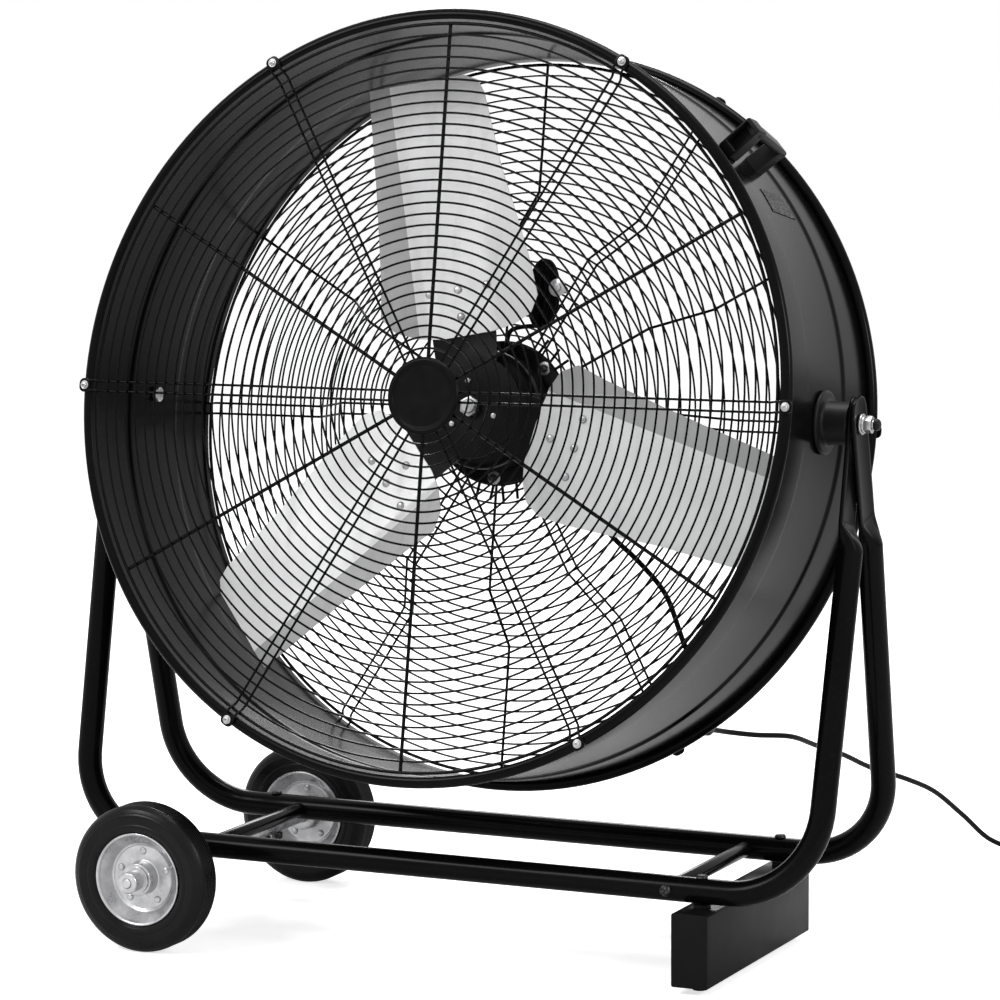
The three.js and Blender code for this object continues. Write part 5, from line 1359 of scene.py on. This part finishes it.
@step
class FAN_OT_frame_tubes(bpy.types.Operator):
    """Two crossed U tubes whose upper ends are pressed flat round the pivots"""

    bl_idname = "fan.frame_tubes"
    bl_label = "Frame tubes"

    def execute(self, context):
        for name, side, strap_x in (("front", -1, 510.8), ("rear", 1, 516.1)):
            s = Skin()
            s.grid(self.leg_grid(side, strap_x))
            s.make(
                f"{name}_frame_skin", finish("black_gloss_paint"), "frame", f"{name}_frame_tube",
                slot="black_gloss_paint", angle=45,
            )
        return {"FINISHED"}

    def leg_grid(self, side, strap_x):
        """Section by the length down the leg: a flat strap of 5 by 50 with pressed edges, a flare, and a
        circle of radius 15.9; the centre line bends at the feet on radius 112."""
        top = -33.6
        s = np.r_[
            top + 20 * (1 - np.cos(np.linspace(0, np.pi / 2, 9))), np.linspace(0, 116, 20),
            np.linspace(120, 158, 16),
        ]
        x = strap_x + (518 - strap_x) * ease((s - 121) / 36)
        low = bent([(518, 159), (509.5, LEG), (-509.5, LEG), (-518, 159)], 112)
        run = even(low, 11.0)
        line = np.vstack([np.stack([x, s], -1), run, np.stack([-x, s], -1)[::-1]])
        t = unit(np.gradient(line, axis=0))
        n = np.stack([t[:, 1], -t[:, 0]], -1)
        down = line[:, 1]
        flat = ease((157 - down) / 36)
        wide = TUBE_R + (25 - TUBE_R) * flat
        wide = np.where(down < top + 20, 5 + np.sqrt(np.maximum(400 - (20 - (down - top)) ** 2, 0)), wide)
        thick = TUBE_R + (2.5 - TUBE_R) * flat
        a = np.arange(40) * 2 * np.pi / 40
        power = (1 - 0.72 * flat)[:, None]
        c = np.sign(np.cos(a)) * np.abs(np.cos(a)) ** power
        w = np.sign(np.sin(a)) * np.abs(np.sin(a)) ** power
        groove = flat[:, None] * np.clip((0.74 - np.abs(w)) / 0.12, 0, 1)
        across = thick[:, None] * c * (1 - 0.34 * groove)
        out = wide[:, None] * w
        p = line[:, None] + across[..., None] * n[:, None]
        d = np.array([side * TUBE_Y, TUBE_Z - PIVOT_Z]) / LEG
        q = np.array([PIVOT_Z - TUBE_Z, side * TUBE_Y]) / LEG
        yz = p[..., 1:] * d + out[..., None] * q + [0, PIVOT_Z]
        return np.concatenate([p[..., :1], yz], -1)


@step
class FAN_OT_cross_tubes(bpy.types.Operator):
    """Two cross tubes with bolts through the frame"""

    bl_idname = "fan.cross_tubes"
    bl_label = "Cross tubes"

    def execute(self, context):
        for name, x in (("foot_end", 322), ("wheel_end", -322)):
            s = Skin()
            half = TUBE_Y - TUBE_R - 0.3
            s.knob(
                rounded([(7, -half), (9.5, -half), (9.5, half), (7, half)], 0.5, 3, False), (x, 0, TUBE_Z),
                (0, 1, 0), 32,
            )
            s.make(
                f"{name}_cross_skin", finish("black_gloss_paint"), "frame", f"{name}_cross_tube",
                slot="black_gloss_paint",
            )
            for end, side in (("front", -1), ("rear", 1)):
                s = Skin()
                head = [
                    (4, 141.4), (4, 149.6), (7.5, 149.7), (7.5, 150.6), (6.2, 152.6), (3.4, 153.7),
                    (2.2, 153.7), (1.8, 152.3), (0.6, 152.2),
                ]
                s.knob(rounded(head, 0.6, 3, False), (x, 0, TUBE_Z), (0, side, 0), 32)
                s.make(
                    f"{name}_bolt_skin_{end}", finish("dark_bolt"), "frame", f"{name}_cross_bolt_{end}",
                    slot="dark_bolt",
                )
        return {"FINISHED"}


@step
class FAN_OT_foot_box(bpy.types.Operator):
    """Foot box with end caps, rubber feet and the bolts that hold it under the frame"""

    bl_idname = "fan.foot_box"
    bl_label = "Foot box"

    def execute(self, context):
        section = rounded(rectangle(340, 388, 8.6, 100.5), 3, 5)
        s = Skin()
        s.grid(extruded(section, -172, 172, along_y, 0.5))
        for y in (-TUBE_Y, TUBE_Y):
            s.knob(
                rounded([(11, 99.6), (11, 105.4), (10.4, 105.8), (4, 105.8)], 0.4, 3, False),
                (SUPPORT_X, y, 0), (0, 0, 1), 32,
            )
        s.make("foot_box_skin", finish("foot_paint"), "frame", "foot_box", slot="foot_paint")
        for name, side in (("front", -1), ("rear", 1)):
            s = Skin()

            def outward(a, b, h, side=side):
                return np.stack([a, side * h, b], -1)

            s.grid(extruded(section, 172.3, 175.3, outward, 0.9))
            s.make(
                f"foot_box_cap_skin_{name}", finish("foot_paint"), "frame", f"foot_box_cap_{name}",
                slot="foot_paint",
            )
            s = Skin()
            foot = [(8.4, 0), (9.6, 0.7), (10, 2.2), (10, 6.6), (9.2, 8.3), (3, 8.3)]
            s.knob(rounded(foot, 0.8, 4, False), (SUPPORT_X, side * 140, 0), (0, 0, 1), 40)
            s.make(
                f"rubber_foot_skin_{name}", finish("rubber"), "frame", f"rubber_foot_{name}", slot="rubber",
            )
            for kind, x in (("foot_box", SUPPORT_X), ("axle", -SUPPORT_X)):
                s = Skin()
                base = TUBE_Z + TUBE_R + 0.3
                head = [
                    (4, base - 8), (4, base), (7.5, base), (7.5, base + 1), (6, base + 3.2), (2.6, base + 4),
                ]
                s.knob(rounded(head, 0.6, 3, False), (x, side * TUBE_Y, 0), (0, 0, 1), 32)
                if kind == "axle":
                    s.knob(
                        rounded(
                            [(4, 75.8), (6.4, 75.8), (7.2, 76.8), (7.2, 83.8), (6.4, 84.9), (4, 84.9)], 0.4,
                            3, False,
                        ),
                        (x, side * TUBE_Y, 0), (0, 0, 1), 6,
                    )
                s.make(
                    f"{kind}_bolt_skin_{name}", finish("dark_bolt"), "frame", f"{kind}_bolt_{name}",
                    slot="dark_bolt",
                )
        return {"FINISHED"}


@step
class FAN_OT_wheels(bpy.types.Operator):
    """Axle, two dished zinc rims with rivets, and tyres with a ribbed tread"""

    bl_idname = "fan.wheels"
    bl_label = "Wheels and axle"

    def execute(self, context):
        s = Skin()
        centre = np.array([-SUPPORT_X, 0, AXLE_Z])
        tip = [(10, 251.3), (10, 265.2), (9.2, 266), (6, 266.2), (6, 275), (5.2, 276), (1, 276)]
        end = rounded(tip, 0.5, 4, False)
        s.knob(np.vstack([end[::-1] * [1, -1], end]), centre, (0, 1, 0), 48)
        s.make("axle_skin", finish("zinc"), "frame", "axle_bar", slot="zinc")
        nut = [
            (10.3, 251.3), (18, 251.3), (18, 253.3), (17.2, 253.8), (13.0, 253.9), (13.5, 255), (13.5, 272.6),
            (12.2, 274.3), (6.4, 274.3), (6.4, 266.5), (10.3, 266.4),
        ]
        for name, side in (("front", -1), ("rear", 1)):
            s = Skin()
            s.ring(rounded(nut, 0.5, 3), centre, (0, side, 0), 48)
            s.make(f"axle_nut_skin_{name}", finish("zinc"), "frame", f"axle_nut_{name}", slot="zinc")
        for name, side in (("front", -1), ("rear", 1)):
            middle = centre + [0, side * 227, 0]
            self.rim(name, side, middle)
            self.tyre(name, middle)
        return {"FINISHED"}

    def rim(self, name, side, middle):
        """Lip, sloping wall, disc and hub tube on both faces, with five rivets round the hub."""
        half = [
            (10.3, -24), (19.6, -24), (21, -23.4), (21, -5), (22.5, -4), (39, -4), (41.2, -4.3), (42.6, -5.6),
            (44.2, -6.2), (46, -8.2), (55, -19), (56.6, -21.6), (58.3, -22.7), (59.6, -22.4), (60, -21.4),
        ]
        half = np.array(half)
        profile = rounded(np.vstack([half, half[::-1] * [1, -1]]), 0.8, 4)
        s = Skin()
        s.ring(profile, middle, (0, 1, 0), 96, side=(0, 0, 1))
        for i in range(5):
            a = np.radians(90 + 72 * i)
            at = middle + [34 * np.cos(a), 0, 34 * np.sin(a)]
            head = rounded([(4.5, 3.8), (4.5, 5.1), (3.6, 6.2), (1.4, 6.5)], 0.5, 3, False)
            s.knob(head, at, (0, 1, 0), 20)
            s.knob(head, at, (0, -1, 0), 20)
        s.make(
            f"rim_skin_{name}", finish("zinc"), f"wheel_{name}", f"wheel_rim_{name}", slot="zinc", angle=28,
        )

    def tyre(self, name, middle):
        """Bead ring, shoulder step and sidewall, and a tread of eight shallow ribs."""
        wall = [
            (60.3, 20.6), (63.5, 23.4), (66.6, 24.4), (70, 24.6), (71.4, 23.7), (73, 24.1), (82.5, 25),
            (84, 24.2), (88, 22.4), (91.5, 19.8), (93.4, 17.2), (94.6, 15.4),
        ]
        ribs = [(95.3 - 1.5 * (k % 2), 14 - k * 28 / 14) for k in range(15)]
        half = np.array(wall)
        profile = rounded(np.vstack([half, ribs, half[::-1] * [1, -1]]), 0.9, 3)
        s = Skin()
        s.ring(profile, middle, (0, 1, 0), 128, side=(0, 0, 1))
        s.make(
            f"tyre_skin_{name}", finish("tyre_rubber"), f"wheel_{name}", f"tyre_{name}", slot="tyre_rubber",
            angle=40,
        )


@step
class FAN_OT_leads(bpy.types.Operator):
    """Hank of motor lead with its clip, the leads to and from the connection box, and the cord's gland"""

    bl_idname = "fan.leads"
    bl_label = "Inner leads"

    def execute(self, context):
        jacket = finish("cord_jacket")
        turn = np.arange(2 * 48 + 1) / 48
        a = 2 * np.pi * turn - np.pi / 2
        s = Skin(drum_space)
        for k, inset in enumerate((0, 6.4, 12.8)):
            loops = np.stack(
                [53 + (17 - inset) * np.cos(a), 71.2 - 7.2 * turn, 155 + (42 - inset) * np.sin(a)], -1,
            )
            ends = loops[[0, -1]] + [[0, 0, 0.4], [0, 0, 0.4]]
            if k == 0:
                ends = np.array([loops[0] - [6, 0, 0], loops[-1] + [6, 0, 0]])
            s.grid(tube(np.vstack([ends[:1], loops, ends[1:]]), 3.5, 12))
        s.make("lead_hank_skin", jacket, "drum", "lead_hank", slot="cord_jacket")
        s = Skin(drum_space)
        clip = [(2.5, 48.3), (5.5, 48.4), (5.5, 50.8), (11.5, 50.9), (11.5, 52.3), (5, 52.5), (5, 74.9)]
        s.knob(rounded(clip, 0.5, 3, False), (77, 0, 162), (0, 1, 0), 40)
        s.make("lead_clip_skin", finish("zinc"), "drum", "lead_clip", slot="zinc")
        foot = polar(77.3, 84, 60.7)
        path = [(45.7, 71.6, 114), (38.7, 71.6, 114), (foot[0] + 3, 63.7, 106), foot + [0, 0, 7], foot]
        s = Skin(drum_space)
        s.grid(tube(flowing(path, 2.5), 3, 12))
        s.make("motor_lead_skin", jacket, "drum", "motor_lead", slot="cord_jacket")
        turns = (
            (150, -44, 108.2), (215, -44.3, 112.2), (249, -44.7, 138.2), (290, -45.4, 158.8),
            (312, -46, 159.8), (365, -48.8, 159.8), (399, -50, 159.8), (432, -52.2, 161.8),
        )
        path = [(42.3, 104.2, -32), (51.3, 104.2, -32), *(polar(*p) for p in (np.array(turns)))]
        path += [polar(459.7, -54, 165.8), polar(468.7, -54, 165.8)]
        s = Skin(drum_space)
        s.grid(tube(flowing(path, 5), 3.5, 12))
        s.make("inner_lead_skin", jacket, "drum", "inner_lead", slot="cord_jacket")
        s = Skin(drum_space)
        gland = [
            (7, 159.8), (8, 160.2), (8, 169), (7.2, 170.4), (7.0, 171), (6.4, 171.4), (6.6, 172.2),
            (6.0, 173), (6.2, 174), (5.6, 175), (5.5, 177.8), (3.6, 177.8),
        ]
        at = polar(GLAND_R, GLAND_DEG, 0)
        s.knob(rounded(gland, 0.4, 3, False), at, (0, 1, 0), 40)
        s.make("cord_gland", finish("black_plastic"), "drum", "lead_gland", slot="black_plastic")
        return {"FINISHED"}


class FAN_PT_panel(bpy.types.Panel):
    """Sizes, colours and steps of the fan"""

    bl_label = "Drum fan"
    bl_space_type = "VIEW_3D"
    bl_region_type = "UI"
    bl_category = "Drum fan"

    def draw(self, context):
        for group in (context.scene.fan_sizes, context.scene.fan_colours):
            for name in group.__annotations__:
                self.layout.prop(group, name)
        for cls in STEPS:
            self.layout.operator(cls.bl_idname)


CLASSES = (FanSizes, FanColours, *STEPS, FAN_PT_panel)


def register():
    for cls in CLASSES:
        bpy.utils.register_class(cls)
    bpy.types.Scene.fan_sizes = PointerProperty(type=FanSizes)
    bpy.types.Scene.fan_colours = PointerProperty(type=FanColours)


def unregister():
    del bpy.types.Scene.fan_sizes, bpy.types.Scene.fan_colours
    for cls in reversed(CLASSES):
        bpy.utils.unregister_class(cls)


def main():
    register()
    for cls in STEPS:
        group, name = cls.bl_idname.split(".")
        getattr(getattr(bpy.ops, group), name)()
    boxes = {"cad": [list(c) for c in CAD_BOX], "visual": [list(c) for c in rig.bounds()]}
    with open("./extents.json", "w") as f:
        json.dump(boxes, f)


if __name__ == "__main__":
    main()
